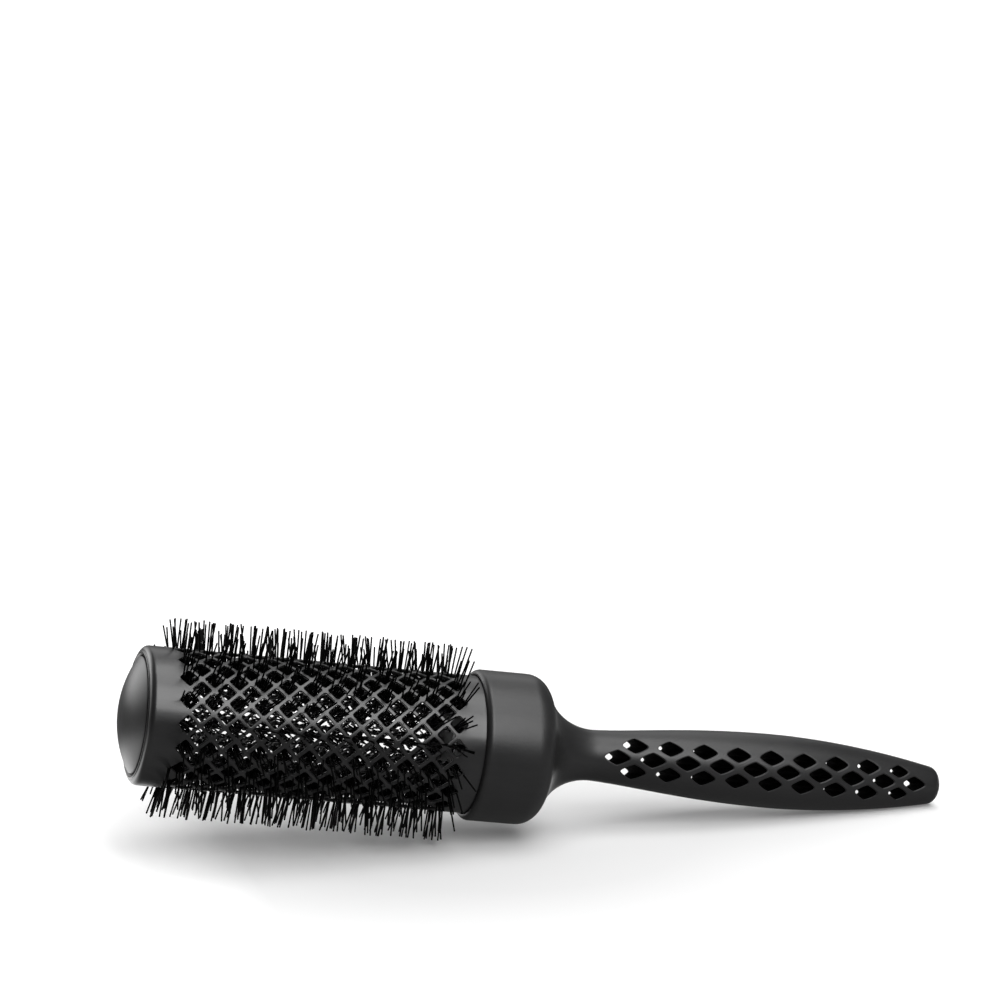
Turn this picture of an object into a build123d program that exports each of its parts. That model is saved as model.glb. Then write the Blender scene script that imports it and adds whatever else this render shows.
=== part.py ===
from build123d import *
import math
import os

# Blowout brush: a vented thermal barrel with bristle strands, on a latticed soft-touch handle.
# Millimetres. X runs along the brush from the domed tip (-X) to the butt of the handle (+X),
# Z is up, and the handle's vents run through along Y.
# The origin is on the brush's axis, at the middle of the collar's straight wall.

# Collar of the handle
COLLAR_WALL = 1.85
COLLAR_STRAIGHT = 15.0
LIP_WALL = 1.8
SHOULDER_ROUND = 7.0
NECK_HOLLOW_RADIUS = 18.0
CUP_FLOOR_GAP = 0.05

# Barrel
BARREL_DIAMETER = 43.0
BARREL_WALL = 0.8
BARREL_EXPOSED = 105.7
BARREL_SEATED = 10.0
BARREL_END_ROUND = 2.2
TIP_LAND = 0.85

# Vents in the barrel: two interleaved sets of diamonds, and the bristles come out of the first
VENT_ROWS = 18
VENT_PITCH = 7.7
VENT_BAR = 1.3
FIRST_VENT_FROM_TIP = 12.2
PLAIN_BAND_AT_LIP = 8.0
FIRST_ROW_ANGLE = 14.3

# End dome
DOME_HEIGHT = 5.0
DOME_WALL = 1.6
DOME_EDGE_ROUND = 0.5
DOME_SKIRT = 4.2
DOME_GAP = 0.4

# Strand holders at both ends of the barrel
HOLDER_THICKNESS = 5.6
HUB_FACE_FROM_LIP = 4.4
HUB_PLATE = 4.5
HUB_SKIRT_WALL = 2.0
HUB_BOSS_RADIUS = 5.0
SOCKET_DEPTH = 2.0

# Twisted-wire strands and their bristles
WIRE_DIAMETER = 1.6
WIRE_SIDES = 6
WIRE_DEPTH_IN_BARREL = 5.3
ROOT_HEIGHT = 0.45
ROOT_WIDTH = 0.8
BRISTLE_PROUD = 9.5
BRISTLE_THICKNESS = 0.5
BRISTLE_SIDES = 3
TUFT_COUNTS = (2, 1)
TUFT_SPREAD = 9.0
TUFT_SIDE_LEAN = 3.5
END_FAN = 9.0
END_FAN_POWER = 5
TIP_SCATTER = 0.35

# Screw that holds the hub to the handle
SCREW_DIAMETER = 3.0
SCREW_HEAD_DIAMETER = 6.0
SCREW_HEAD_HEIGHT = 2.2
SCREW_LENGTH = 18.0
SCREW_SOCKET_WIDTH = 2.5
SCREW_SOCKET_DEPTH = 1.3
PILOT_OVERRUN = 1.0

# Grip: an oval that swells from the neck to the belly and tapers to a squared butt
NECK_RADIUS = 8.0
GRIP_END = 147.1
BELLY_X = 90.7
BELLY_HALF_HEIGHT = 11.75
BUTT_HALF_HEIGHT = 5.5
BELLY_DEPTH_X = 75.7
BELLY_HALF_DEPTH = 12.9
BUTT_HALF_DEPTH = 5.8
BUTT_ROUND = 2.8
GRIP_SECTIONS = 9
HEIGHT_SWELL_POWER = 0.72
HEIGHT_TAPER_POWER = 1.9
DEPTH_SWELL_POWER = 0.6
DEPTH_TAPER_POWER = 2.2

# Vents through the grip, in three staggered rows
GRIP_VENT_FIRST = 37.1
GRIP_VENT_PITCH = 11.1
GRIP_VENT_END_MARGIN = 8.5
GRIP_VENT_ROW_GAP = 4.05
GRIP_VENT_HALF_LENGTH = 4.35
GRIP_VENT_HALF_HEIGHT = 2.25
GRIP_VENT_BULGE = 0.25
LAST_VENT_SHRINK = 0.86

# Clearances
SEAT_CLEARANCE = 0.05
COLLAR_CLEARANCE = 0.25
WIRE_CLEARANCE = 0.04

# Places that follow from the sizes above
BARREL_RADIUS = BARREL_DIAMETER / 2
BARREL_BORE = BARREL_RADIUS - BARREL_WALL
CUP_RADIUS = BARREL_RADIUS + COLLAR_CLEARANCE
COLLAR_RADIUS = CUP_RADIUS + COLLAR_WALL
TIP_OPENING_RADIUS = BARREL_RADIUS - BARREL_END_ROUND - TIP_LAND
WIRE_RING_RADIUS = BARREL_BORE - WIRE_DEPTH_IN_BARREL
BRISTLE_TIP_RADIUS = BARREL_RADIUS + BRISTLE_PROUD
LIP_X = -COLLAR_STRAIGHT / 2 - LIP_WALL
TIP_X = LIP_X - BARREL_EXPOSED
BARREL_END_X = LIP_X + BARREL_SEATED
CUP_FLOOR_X = BARREL_END_X + CUP_FLOOR_GAP
HOLDER_X = TIP_X + BARREL_WALL + SEAT_CLEARANCE
HUB_X = LIP_X - HUB_FACE_FROM_LIP
WIRE_START_X = HOLDER_X + HOLDER_THICKNESS - SOCKET_DEPTH + SEAT_CLEARANCE
WIRE_END_X = HUB_X + SOCKET_DEPTH - SEAT_CLEARANCE
WIRE_RADIUS = WIRE_DIAMETER / 2
DOME_RADIUS = TIP_OPENING_RADIUS - DOME_GAP
ROW_STEP = 360 / VENT_ROWS
HALF_FACET = ROW_STEP / 4
VENT_COLUMNS = 1 + int((BARREL_EXPOSED - FIRST_VENT_FROM_TIP - PLAIN_BAND_AT_LIP) / VENT_PITCH)
GRIP_VENT_COUNT = 1 + int((GRIP_END - GRIP_VENT_FIRST - GRIP_VENT_END_MARGIN) / GRIP_VENT_PITCH)
AXIS_PLANE = Plane.XZ


def revolved(outline):
    """Turn a closed half section, drawn with X along the brush and Y as radius, about the X axis."""
    return revolve(AXIS_PLANE * make_face(outline), Axis.X)


def along_x(radius, start, end):
    """A round bar on the brush's axis."""
    return Plane.YZ.offset(start) * extrude(Circle(radius), end - start)


def row_turn(row):
    """The turn about the X axis that brings a piece from +Z to a row of the first vents."""
    return Rot(FIRST_ROW_ANGLE + row * ROW_STEP, 0, 0)


def vent_half_sizes():
    """Half length and half height of a barrel vent, left by bars of even width."""
    across = math.pi * BARREL_DIAMETER / VENT_ROWS
    spacing = VENT_PITCH * across / math.hypot(VENT_PITCH, across)
    open_share = (spacing - VENT_BAR) / spacing
    return VENT_PITCH / 2 * open_share, across / 2 * open_share


def barrel_section():
    """The barrel's wall along X, with its rounded tip rolled in to the cap's opening."""
    centre_x = TIP_X + BARREL_END_ROUND
    centre_r = BARREL_RADIUS - BARREL_END_ROUND
    reach = BARREL_END_ROUND * math.sqrt(0.5)
    tip_inner_x = TIP_X + BARREL_WALL
    return make_face([
        Line((BARREL_END_X, BARREL_BORE), (BARREL_END_X, BARREL_RADIUS)),
        Line((BARREL_END_X, BARREL_RADIUS), (centre_x, BARREL_RADIUS)),
        ThreePointArc((centre_x, BARREL_RADIUS), (centre_x - reach, centre_r + reach), (TIP_X, centre_r)),
        Line((TIP_X, centre_r), (TIP_X, TIP_OPENING_RADIUS)),
        Line((TIP_X, TIP_OPENING_RADIUS), (tip_inner_x, TIP_OPENING_RADIUS)),
        Line((tip_inner_x, TIP_OPENING_RADIUS), (tip_inner_x, centre_r)),
        Line((tip_inner_x, centre_r), (centre_x, BARREL_BORE)),
        Line((centre_x, BARREL_BORE), (BARREL_END_X, BARREL_BORE)),
    ])


def barrel_facet():
    """One flat of the barrel, mitred to its neighbours on both sides."""
    slab = extrude(AXIS_PLANE * barrel_section(), BARREL_RADIUS * math.radians(2 * HALF_FACET), both=True)
    height = BARREL_RADIUS + 1
    half_width = height * math.tan(math.radians(HALF_FACET))
    wedge = make_face(Polyline((0, 0), (half_width, height), (-half_width, height), close=True))
    return slab & Plane.YZ.offset(TIP_X - 1) * extrude(wedge, BARREL_END_X - TIP_X + 2)


def make_barrel():
    """The vented tube: two flats to each row of vents, so every vent's side lies in one flat."""
    facet = barrel_facet()
    sector = Rot(HALF_FACET, 0, 0) * facet + Rot(-HALF_FACET, 0, 0) * facet

    half_length, half_height = vent_half_sizes()
    diamond = make_face(
        Polyline((-half_length, 0), (0, half_height), (half_length, 0), (0, -half_height), close=True)
    )
    cutter = extrude(diamond, BARREL_RADIUS + 1)
    cutters = []
    for column in range(VENT_COLUMNS):
        column_x = TIP_X + FIRST_VENT_FROM_TIP + column * VENT_PITCH
        cutters.append(Pos(column_x, 0, 0) * cutter)
        if column < VENT_COLUMNS - 1:
            for side in (-1, 1):
                cutters.append(Rot(side * ROW_STEP / 2, 0, 0) * Pos(column_x + VENT_PITCH / 2, 0, 0) * cutter)
    sector = sector - cutters
    sectors = [row_turn(row) * sector for row in range(VENT_ROWS)]
    return sectors[0] + sectors[1:]


def dome_balls():
    """The centre of the dome's two spheres on the axis, and their radii."""
    outer_ball = (DOME_RADIUS**2 + DOME_HEIGHT**2) / (2 * DOME_HEIGHT)
    return TIP_X - DOME_HEIGHT + outer_ball, outer_ball, outer_ball - DOME_WALL


def on_dome(ball, radius):
    """The point of one of the dome's spheres at a radius from the axis."""
    return (dome_balls()[0] - math.sqrt(ball**2 - radius**2), radius)


def make_tip_cap():
    """The domed end cap, a thin shell with a skirt that presses into the strand holder."""
    skirt_x = TIP_X + DOME_SKIRT
    inner_radius = DOME_RADIUS - DOME_WALL
    centre_x, ball, inner_ball = dome_balls()
    cap = revolved([
        ThreePointArc(on_dome(ball, 0), on_dome(ball, DOME_RADIUS / 2), on_dome(ball, DOME_RADIUS)),
        Line(on_dome(ball, DOME_RADIUS), (skirt_x, DOME_RADIUS)),
        Line((skirt_x, DOME_RADIUS), (skirt_x, inner_radius)),
        Line((skirt_x, inner_radius), on_dome(inner_ball, inner_radius)),
        ThreePointArc(
            on_dome(inner_ball, inner_radius), on_dome(inner_ball, inner_radius / 2), on_dome(inner_ball, 0)
        ),
        Line(on_dome(inner_ball, 0), on_dome(ball, 0)),
    ])
    rim = cap.edges().filter_by(GeomType.CIRCLE).filter_by(
        lambda edge: abs(edge.radius - DOME_RADIUS) < 0.01 and edge.center().X < skirt_x - 1
    )
    return fillet(rim, DOME_EDGE_ROUND)


def wire_bar(half_width, start, end):
    """A bar of the wire's section along X at the top of the ring of wires, one flat outwards."""
    section = RegularPolygon(half_width, WIRE_SIDES, major_radius=False)
    return Plane.YZ.offset(start) * Pos(0, WIRE_RING_RADIUS, 0) * extrude(section, end - start)


def socket_cutters(start, end):
    """The sockets that the ends of the wires sit in, one to a row."""
    socket = wire_bar(WIRE_RADIUS + WIRE_CLEARANCE, start, end)
    return [row_turn(row) * socket for row in range(VENT_ROWS)]


def make_tip_holder():
    """The disc behind the barrel's rolled tip: it takes the cap's skirt and the strand ends."""
    outer = BARREL_BORE - SEAT_CLEARANCE
    back_x = HOLDER_X + HOLDER_THICKNESS
    boss_radius = DOME_RADIUS - DOME_WALL - SEAT_CLEARANCE
    boss_x = on_dome(dome_balls()[2], boss_radius)[0] + SEAT_CLEARANCE
    disc = along_x(outer, HOLDER_X, back_x)
    front_edge = disc.edges().filter_by(GeomType.CIRCLE).sort_by(Axis.X)[0]
    disc = chamfer(front_edge, BARREL_END_ROUND - BARREL_WALL)
    groove_end = TIP_X + DOME_SKIRT + SEAT_CLEARANCE
    groove = along_x(DOME_RADIUS + SEAT_CLEARANCE, HOLDER_X - 1, groove_end)
    boss = along_x(boss_radius, boss_x, groove_end)
    return disc - groove + boss - socket_cutters(back_x - SOCKET_DEPTH, back_x)


def make_hub():
    """The plug in the barrel's handle end: strand sockets, a skirt on the cup floor and a screw boss."""
    outer = BARREL_BORE - SEAT_CLEARANCE
    back_x = CUP_FLOOR_X - SEAT_CLEARANCE
    plate_back = HUB_X + HUB_PLATE
    body = along_x(outer, HUB_X, back_x)
    hollow = along_x(outer - HUB_SKIRT_WALL, plate_back, back_x + 1)
    boss = along_x(HUB_BOSS_RADIUS, plate_back, back_x)
    bore = along_x(SCREW_DIAMETER / 2 + SEAT_CLEARANCE, HUB_X - 1, back_x + 1)
    head_seat = along_x(
        SCREW_HEAD_DIAMETER / 2 + SEAT_CLEARANCE, HUB_X - 1, HUB_X + SCREW_HEAD_HEIGHT
    )
    return body - hollow + boss - bore - head_seat - socket_cutters(HUB_X, HUB_X + SOCKET_DEPTH)


def make_hub_screw():
    """The hexagon-socket screw from the barrel's side through the hub into the handle's core."""
    shank_x = HUB_X + SCREW_HEAD_HEIGHT
    head = along_x(SCREW_HEAD_DIAMETER / 2, HUB_X, shank_x)
    shank = along_x(SCREW_DIAMETER / 2, shank_x, shank_x + SCREW_LENGTH)
    drive = RegularPolygon(SCREW_SOCKET_WIDTH / 2, 6, major_radius=False)
    return head + shank - Plane.YZ.offset(HUB_X) * extrude(drive, SCREW_SOCKET_DEPTH)


def make_wire():
    """One strand's wire, at the top of the ring."""
    return wire_bar(WIRE_RADIUS, WIRE_START_X, WIRE_END_X)


def bristle(column, place, count):
    """One bristle of a vent's tuft: it leans away from its neighbours and never crosses one."""
    side = 2 * place / (count - 1) - 1 if count > 1 else 0
    along = 2 * column / (VENT_COLUMNS - 1) - 1
    lean = side * TUFT_SPREAD + END_FAN * along**END_FAN_POWER
    sideways = TUFT_SIDE_LEAN * math.sin(2.4 * column + 2.1 * place)
    reach = BRISTLE_TIP_RADIUS - TIP_SCATTER * (1 + math.cos(1.7 * column + 2.6 * place))
    direction = Vector(math.tan(math.radians(lean)), math.tan(math.radians(sideways)), 1)
    root = Vector(
        TIP_X + FIRST_VENT_FROM_TIP + column * VENT_PITCH + side * BRISTLE_THICKNESS,
        0,
        WIRE_RING_RADIUS + WIRE_RADIUS + WIRE_CLEARANCE + ROOT_HEIGHT / 3,
    )
    length = (reach - root.Z) * direction.length
    thread = RegularPolygon(BRISTLE_THICKNESS / 2, BRISTLE_SIDES)
    return Plane(root, x_dir=(1, 0, -direction.X), z_dir=direction) * extrude(thread, length)


def make_bristle_row():
    """The bristles of one strand, fused to the line of roots that its wire pinches."""
    margin = VENT_PITCH / 4
    length = (VENT_COLUMNS - 1) * VENT_PITCH + 2 * margin
    roots = Pos(
        TIP_X + FIRST_VENT_FROM_TIP - margin, 0, WIRE_RING_RADIUS + WIRE_RADIUS + WIRE_CLEARANCE
    ) * Box(length, ROOT_WIDTH, ROOT_HEIGHT, align=(Align.MIN, Align.CENTER, Align.MIN))
    bristles = []
    for column in range(VENT_COLUMNS):
        count = TUFT_COUNTS[column % len(TUFT_COUNTS)]
        for place in range(count):
            bristles.append(bristle(column, place, count))
    return roots + bristles


def swell(x, start, peak, end, size_start, size_peak, size_end, ease, taper):
    """A half size along the grip: a soft swell up to the peak, then a taper to the butt."""
    if x <= peak:
        share = ((x - start) / (peak - start)) ** ease
        return size_start + (size_peak - size_start) * (1 - math.cos(math.pi * share)) / 2
    return size_peak - (size_peak - size_end) * ((x - peak) / (end - peak)) ** taper


def neck_points():
    """Where the collar's round meets the hollow of the neck, and where the hollow ends."""
    drop = COLLAR_RADIUS - NECK_RADIUS
    turn = math.acos(1 - drop / (SHOULDER_ROUND + NECK_HOLLOW_RADIUS))
    start_x = COLLAR_STRAIGHT / 2
    meet = (start_x + SHOULDER_ROUND * math.sin(turn), COLLAR_RADIUS - SHOULDER_ROUND * (1 - math.cos(turn)))
    end_x = start_x + (SHOULDER_ROUND + NECK_HOLLOW_RADIUS) * math.sin(turn)
    return turn, start_x, meet, end_x


def make_collar_and_neck():
    """The cup that takes the barrel, its rounded lip and shoulder, and the hollow neck behind it."""
    turn, start_x, meet, neck_x = neck_points()
    half_turn = turn / 2
    lip_round = COLLAR_RADIUS - CUP_RADIUS
    lip_mid = lip_round * (1 - math.sqrt(0.5))
    shoulder_mid = (
        start_x + SHOULDER_ROUND * math.sin(half_turn),
        COLLAR_RADIUS - SHOULDER_ROUND * (1 - math.cos(half_turn)),
    )
    neck_mid = (
        neck_x - NECK_HOLLOW_RADIUS * math.sin(half_turn),
        NECK_RADIUS + NECK_HOLLOW_RADIUS * (1 - math.cos(half_turn)),
    )
    outline = [
        Line((CUP_FLOOR_X, 0), (CUP_FLOOR_X, CUP_RADIUS)),
        Line((CUP_FLOOR_X, CUP_RADIUS), (LIP_X, CUP_RADIUS)),
        ThreePointArc(
            (LIP_X, CUP_RADIUS), (LIP_X + lip_mid, COLLAR_RADIUS - lip_mid), (LIP_X + lip_round, COLLAR_RADIUS)
        ),
        Line((LIP_X + lip_round, COLLAR_RADIUS), (start_x, COLLAR_RADIUS)),
        ThreePointArc((start_x, COLLAR_RADIUS), shoulder_mid, meet),
        ThreePointArc(meet, neck_mid, (neck_x, NECK_RADIUS)),
        Line((neck_x, NECK_RADIUS), (neck_x, 0)),
        Line((neck_x, 0), (CUP_FLOOR_X, 0)),
    ]
    return revolved(outline), neck_x


def make_grip(neck_x):
    """The oval grip, lofted from the neck to the butt, with the butt's edge rounded."""
    sections = []
    for index in range(GRIP_SECTIONS):
        x = neck_x + (GRIP_END - neck_x) * index / (GRIP_SECTIONS - 1)
        half_height = swell(
            x, neck_x, BELLY_X, GRIP_END, NECK_RADIUS, BELLY_HALF_HEIGHT, BUTT_HALF_HEIGHT,
            HEIGHT_SWELL_POWER, HEIGHT_TAPER_POWER,
        )
        half_depth = swell(
            x, neck_x, BELLY_DEPTH_X, GRIP_END, NECK_RADIUS, BELLY_HALF_DEPTH, BUTT_HALF_DEPTH,
            DEPTH_SWELL_POWER, DEPTH_TAPER_POWER,
        )
        sections.append(Plane.YZ.offset(x) * Ellipse(half_depth, half_height))
    grip = loft(sections)
    butt_edge = grip.faces().sort_by(Axis.X)[-1].edges()
    return fillet(butt_edge, BUTT_ROUND)


def grip_vent(x, z, scale):
    """A diamond with bulged sides that runs straight through the grip along Y."""
    half_length = GRIP_VENT_HALF_LENGTH * scale
    half_height = GRIP_VENT_HALF_HEIGHT * scale
    corners = [(-half_length, 0), (0, half_height), (half_length, 0), (0, -half_height)]
    slant = math.hypot(half_length, half_height)
    sides = []
    for start, end in zip(corners, corners[1:] + corners[:1]):
        middle_x, middle_z = (start[0] + end[0]) / 2, (start[1] + end[1]) / 2
        out_x = math.copysign(half_height / slant, middle_x) * GRIP_VENT_BULGE
        out_z = math.copysign(half_length / slant, middle_z) * GRIP_VENT_BULGE
        sides.append(ThreePointArc(start, (middle_x + out_x, middle_z + out_z), end))
    return AXIS_PLANE * Pos(x, z, 0) * extrude(make_face(sides), 2 * BELLY_HALF_DEPTH, both=True)


def make_handle():
    """Collar, neck and grip in one moulding, with the vents and the screw's pilot hole."""
    collar, neck_x = make_collar_and_neck()
    vents = [
        grip_vent(GRIP_VENT_FIRST + index * GRIP_VENT_PITCH, 0, 1.0) for index in range(GRIP_VENT_COUNT)
    ]
    for index in range(GRIP_VENT_COUNT - 1):
        scale = LAST_VENT_SHRINK if index == GRIP_VENT_COUNT - 2 else 1.0
        x = GRIP_VENT_FIRST + (index + 0.5) * GRIP_VENT_PITCH
        for row_side in (-1, 1):
            vents.append(grip_vent(x, row_side * GRIP_VENT_ROW_GAP * scale, scale))
    pilot_end = HUB_X + SCREW_HEAD_HEIGHT + SCREW_LENGTH + PILOT_OVERRUN
    pilot = along_x(SCREW_DIAMETER / 2 + SEAT_CLEARANCE, CUP_FLOOR_X - 1, pilot_end)
    return collar + make_grip(neck_x) - vents - pilot


def write(node, shape):
    """Write one node's STEP file."""
    shape.label = node
    export_step(shape, f"parts/{node}.step")
    print(node, round(shape.volume, 1), "mm3")


def main():
    """Build every piece and write it under its node's name."""
    os.makedirs("parts", exist_ok=True)
    write("barrel", make_barrel())
    write("tip_cap", make_tip_cap())
    write("tip_holder", make_tip_holder())
    write("hub", make_hub())
    write("hub_screw", make_hub_screw())
    write("handle", make_handle())
    wire = make_wire()
    bristle_row = make_bristle_row()
    for row in range(VENT_ROWS):
        write(f"strand_wire_{row + 1:02d}", row_turn(row) * wire)
        write(f"bristle_row_{row + 1:02d}", row_turn(row) * bristle_row)


main()
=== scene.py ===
"""A blowout brush dressed for a studio picture: the CAD frame with its visible pieces in full detail."""

import logging
import math
from dataclasses import dataclass
from enum import Enum

import bmesh
import bpy
import numpy as np
from mathutils import Matrix, Vector


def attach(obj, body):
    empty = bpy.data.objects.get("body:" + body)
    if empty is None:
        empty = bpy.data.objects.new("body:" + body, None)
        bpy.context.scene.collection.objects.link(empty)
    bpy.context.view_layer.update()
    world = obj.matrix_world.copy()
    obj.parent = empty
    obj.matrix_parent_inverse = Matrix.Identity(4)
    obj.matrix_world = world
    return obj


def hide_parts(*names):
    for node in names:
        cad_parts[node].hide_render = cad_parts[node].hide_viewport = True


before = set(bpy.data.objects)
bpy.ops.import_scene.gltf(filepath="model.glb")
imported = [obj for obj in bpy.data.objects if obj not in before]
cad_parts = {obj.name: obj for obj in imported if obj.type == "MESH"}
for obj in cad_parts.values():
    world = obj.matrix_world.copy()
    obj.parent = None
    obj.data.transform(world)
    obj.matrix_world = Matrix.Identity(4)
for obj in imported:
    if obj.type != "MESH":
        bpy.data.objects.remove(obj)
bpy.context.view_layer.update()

LOG = logging.getLogger("blowout_brush")
MM = 0.001
MICRON = 0.000001
BODY = "root"
WELD = 0.004 * MM
WHITE = (1.0, 1.0, 1.0, 1.0)
CAMERA_RAY = "Is Camera Ray"

Pair = tuple[float, float]
Point = tuple[float, float, float]
Socket = bpy.types.NodeSocket
Tree = bpy.types.NodeTree
Material = bpy.types.Material
Piece = bpy.types.Object


class Role(Enum):
    """The panels of the soft strip over the brush."""

    FRONT = "front"
    TOP = "top"
    BACK = "back"


class Draw(Enum):
    """What a thread's random numbers are for, each with its own step from the row's seed."""

    ROOT_PLACE = 11
    TILT = 23
    LEAN = 37
    ROOT_SIDE = 41
    SPIN = 53
    LENGTH = 61


class NodeSheet:
    """Adds and links nodes in one tree, laid out from left to right."""

    per_column: int = 5
    column_width: int = 180
    row_height: int = 190

    def __init__(self, tree: Tree) -> None:
        """Start with an empty tree."""
        self.tree = tree

    def add(self, kind: str, settings: dict | None = None, **inputs: object) -> bpy.types.Node:
        """Add one node.

        Args:
            kind: The node's type name.
            settings: Attributes of the node, such as its operation.
            inputs: Values or sockets for its inputs, with underscores for spaces.

        Returns:
            The new node.
        """
        column, row = divmod(len(self.tree.nodes), self.per_column)
        node = self.tree.nodes.new(kind)
        node.location = (self.column_width * column, -self.row_height * row)
        for name, value in (settings or {}).items():
            setattr(node, name, value)
        for name, value in inputs.items():
            self.put(node.inputs[name.replace("_", " ")], value)
        return node

    def put(self, socket: Socket, value: object) -> None:
        """Link an output to a socket, or set the socket's own value.

        Args:
            socket: The input socket.
            value: An output socket, or a plain value.
        """
        if isinstance(value, Socket):
            self.tree.links.new(value, socket)
        else:
            socket.default_value = value

    def put_all(self, node: bpy.types.Node, values: dict[str | int, object]) -> None:
        """Fill several inputs of a node, given by their names or numbers."""
        for name, value in values.items():
            self.put(node.inputs[name], value)

    def math(self, operation: str, *values: object) -> Socket:
        """Add a Math node.

        Args:
            operation: The name of the operation.
            values: Its inputs, as sockets or numbers.

        Returns:
            The node's output.
        """
        node = self.add("ShaderNodeMath", {"operation": operation})
        self.put_all(node, dict(enumerate(values)))
        return node.outputs[0]

    def plus(self, term: object, other: object) -> Socket:
        """The sum of two sockets or numbers."""
        return self.math("ADD", term, other)

    def minus(self, whole: object, part: object) -> Socket:
        """The difference of two sockets or numbers."""
        return self.math("SUBTRACT", whole, part)

    def times_plus(self, value: object, factor: object, term: object) -> Socket:
        """A product of two sockets or numbers, and a third added to it."""
        return self.math("MULTIPLY_ADD", value, factor, term)

    def times(self, product: object, *factors: object) -> Socket:
        """Multiply sockets or numbers, one after another.

        Args:
            product: The first of them.
            factors: The others.

        Returns:
            The last product's output.
        """
        for factor in factors:
            product = self.math("MULTIPLY", product, factor)
        return product

    def mix(self, share: object, low: object, high: object) -> Socket:
        """Mix two colours.

        Args:
            share: How much of the second, as a socket or a number.
            low: The first colour.
            high: The second colour.

        Returns:
            The mixed colour's output.
        """
        node = self.add("ShaderNodeMix", {"data_type": "RGBA"})
        self.put_all(node, {0: share, 6: low, 7: high})
        return node.outputs[2]

    def remap(self, value: object, old: Pair, new: Pair) -> Socket:
        """Carry a value from one range to another.

        Args:
            value: The socket to carry over.
            old: The start and end of its range.
            new: What they become.

        Returns:
            The new value's output.
        """
        node = self.add("ShaderNodeMapRange")
        self.put_all(node, {"Value": value, "From Min": old[0], "From Max": old[1],
                            "To Min": new[0], "To Max": new[1]})
        return node.outputs[0]

    def ramps(self, *ramps: tuple[Socket, Pair, Pair]) -> Socket:
        """The product of ramps, each given as a value, its range and what the range becomes."""
        return self.times(*[self.remap(*ramp) for ramp in ramps])

    def vector(self, x: object = 0.0, y: object = 0.0, z: object = 0.0) -> Socket:
        """A vector from its parts."""
        return self.add("ShaderNodeCombineXYZ", X=x, Y=y, Z=z).outputs[0]

    def parts(self, vector: Socket) -> bpy.types.NodeOutputs:
        """The parts of a vector, by their numbers."""
        return self.add("ShaderNodeSeparateXYZ", Vector=vector).outputs


class GeometrySheet(NodeSheet):
    """A sheet for a geometry node tree, with its named inputs in place."""

    def __init__(self, name: str, sockets: dict[str, tuple[str, ...]]) -> None:
        """Make the tree and its sockets.

        Args:
            name: The tree's name.
            sockets: The names of its inputs by their kind.
        """
        super().__init__(bpy.data.node_groups.new(name, "GeometryNodeTree"))
        face = self.tree.interface
        for kind, labels in sockets.items():
            for label in labels:
                face.new_socket(label, in_out="INPUT", socket_type=f"NodeSocket{kind}")
        face.new_socket("Geometry", in_out="OUTPUT", socket_type="NodeSocketGeometry")
        self.given = self.add("NodeGroupInput").outputs

    def join(self, *geometries: Socket) -> Socket:
        """Join geometries in the order given.

        Args:
            geometries: The sockets to join.

        Returns:
            The joined geometry's output.
        """
        node = self.add("GeometryNodeJoinGeometry")
        for geometry in geometries:
            self.put(node.inputs[0], geometry)
        return node.outputs[0]

    def transform(self, geometry: Socket, **moves: object) -> Socket:
        """A geometry moved or turned."""
        return self.add("GeometryNodeTransform", Geometry=geometry, **moves).outputs[0]

    def random(self, low: float, high: float, draw: Draw) -> Socket:
        """A random number for each thread.

        Args:
            low: The lowest it can be.
            high: The highest.
            draw: What it is for.

        Returns:
            The number's output.
        """
        seed = self.plus(self.given["Seed"], float(draw.value))
        node = self.add("FunctionNodeRandomValue", {"data_type": "FLOAT"})
        self.put_all(node, {2: low, 3: high, "Seed": seed})
        return node.outputs[1]

    def hand_out(self, geometry: Socket) -> Tree:
        """End the tree with a geometry as it is."""
        self.add("NodeGroupOutput", Geometry=geometry)
        return self.tree

    def hand_out_real(self, geometry: Socket) -> Tree:
        """End the tree with a real mesh in its finish.

        Args:
            geometry: The result, with its instances.

        Returns:
            The tree.
        """
        solid = self.add("GeometryNodeRealizeInstances", Geometry=geometry)
        finish = self.given["Finish"]
        dressed = self.add("GeometryNodeSetMaterial", Geometry=solid.outputs[0], Material=finish)
        return self.hand_out(dressed.outputs[0])


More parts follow.
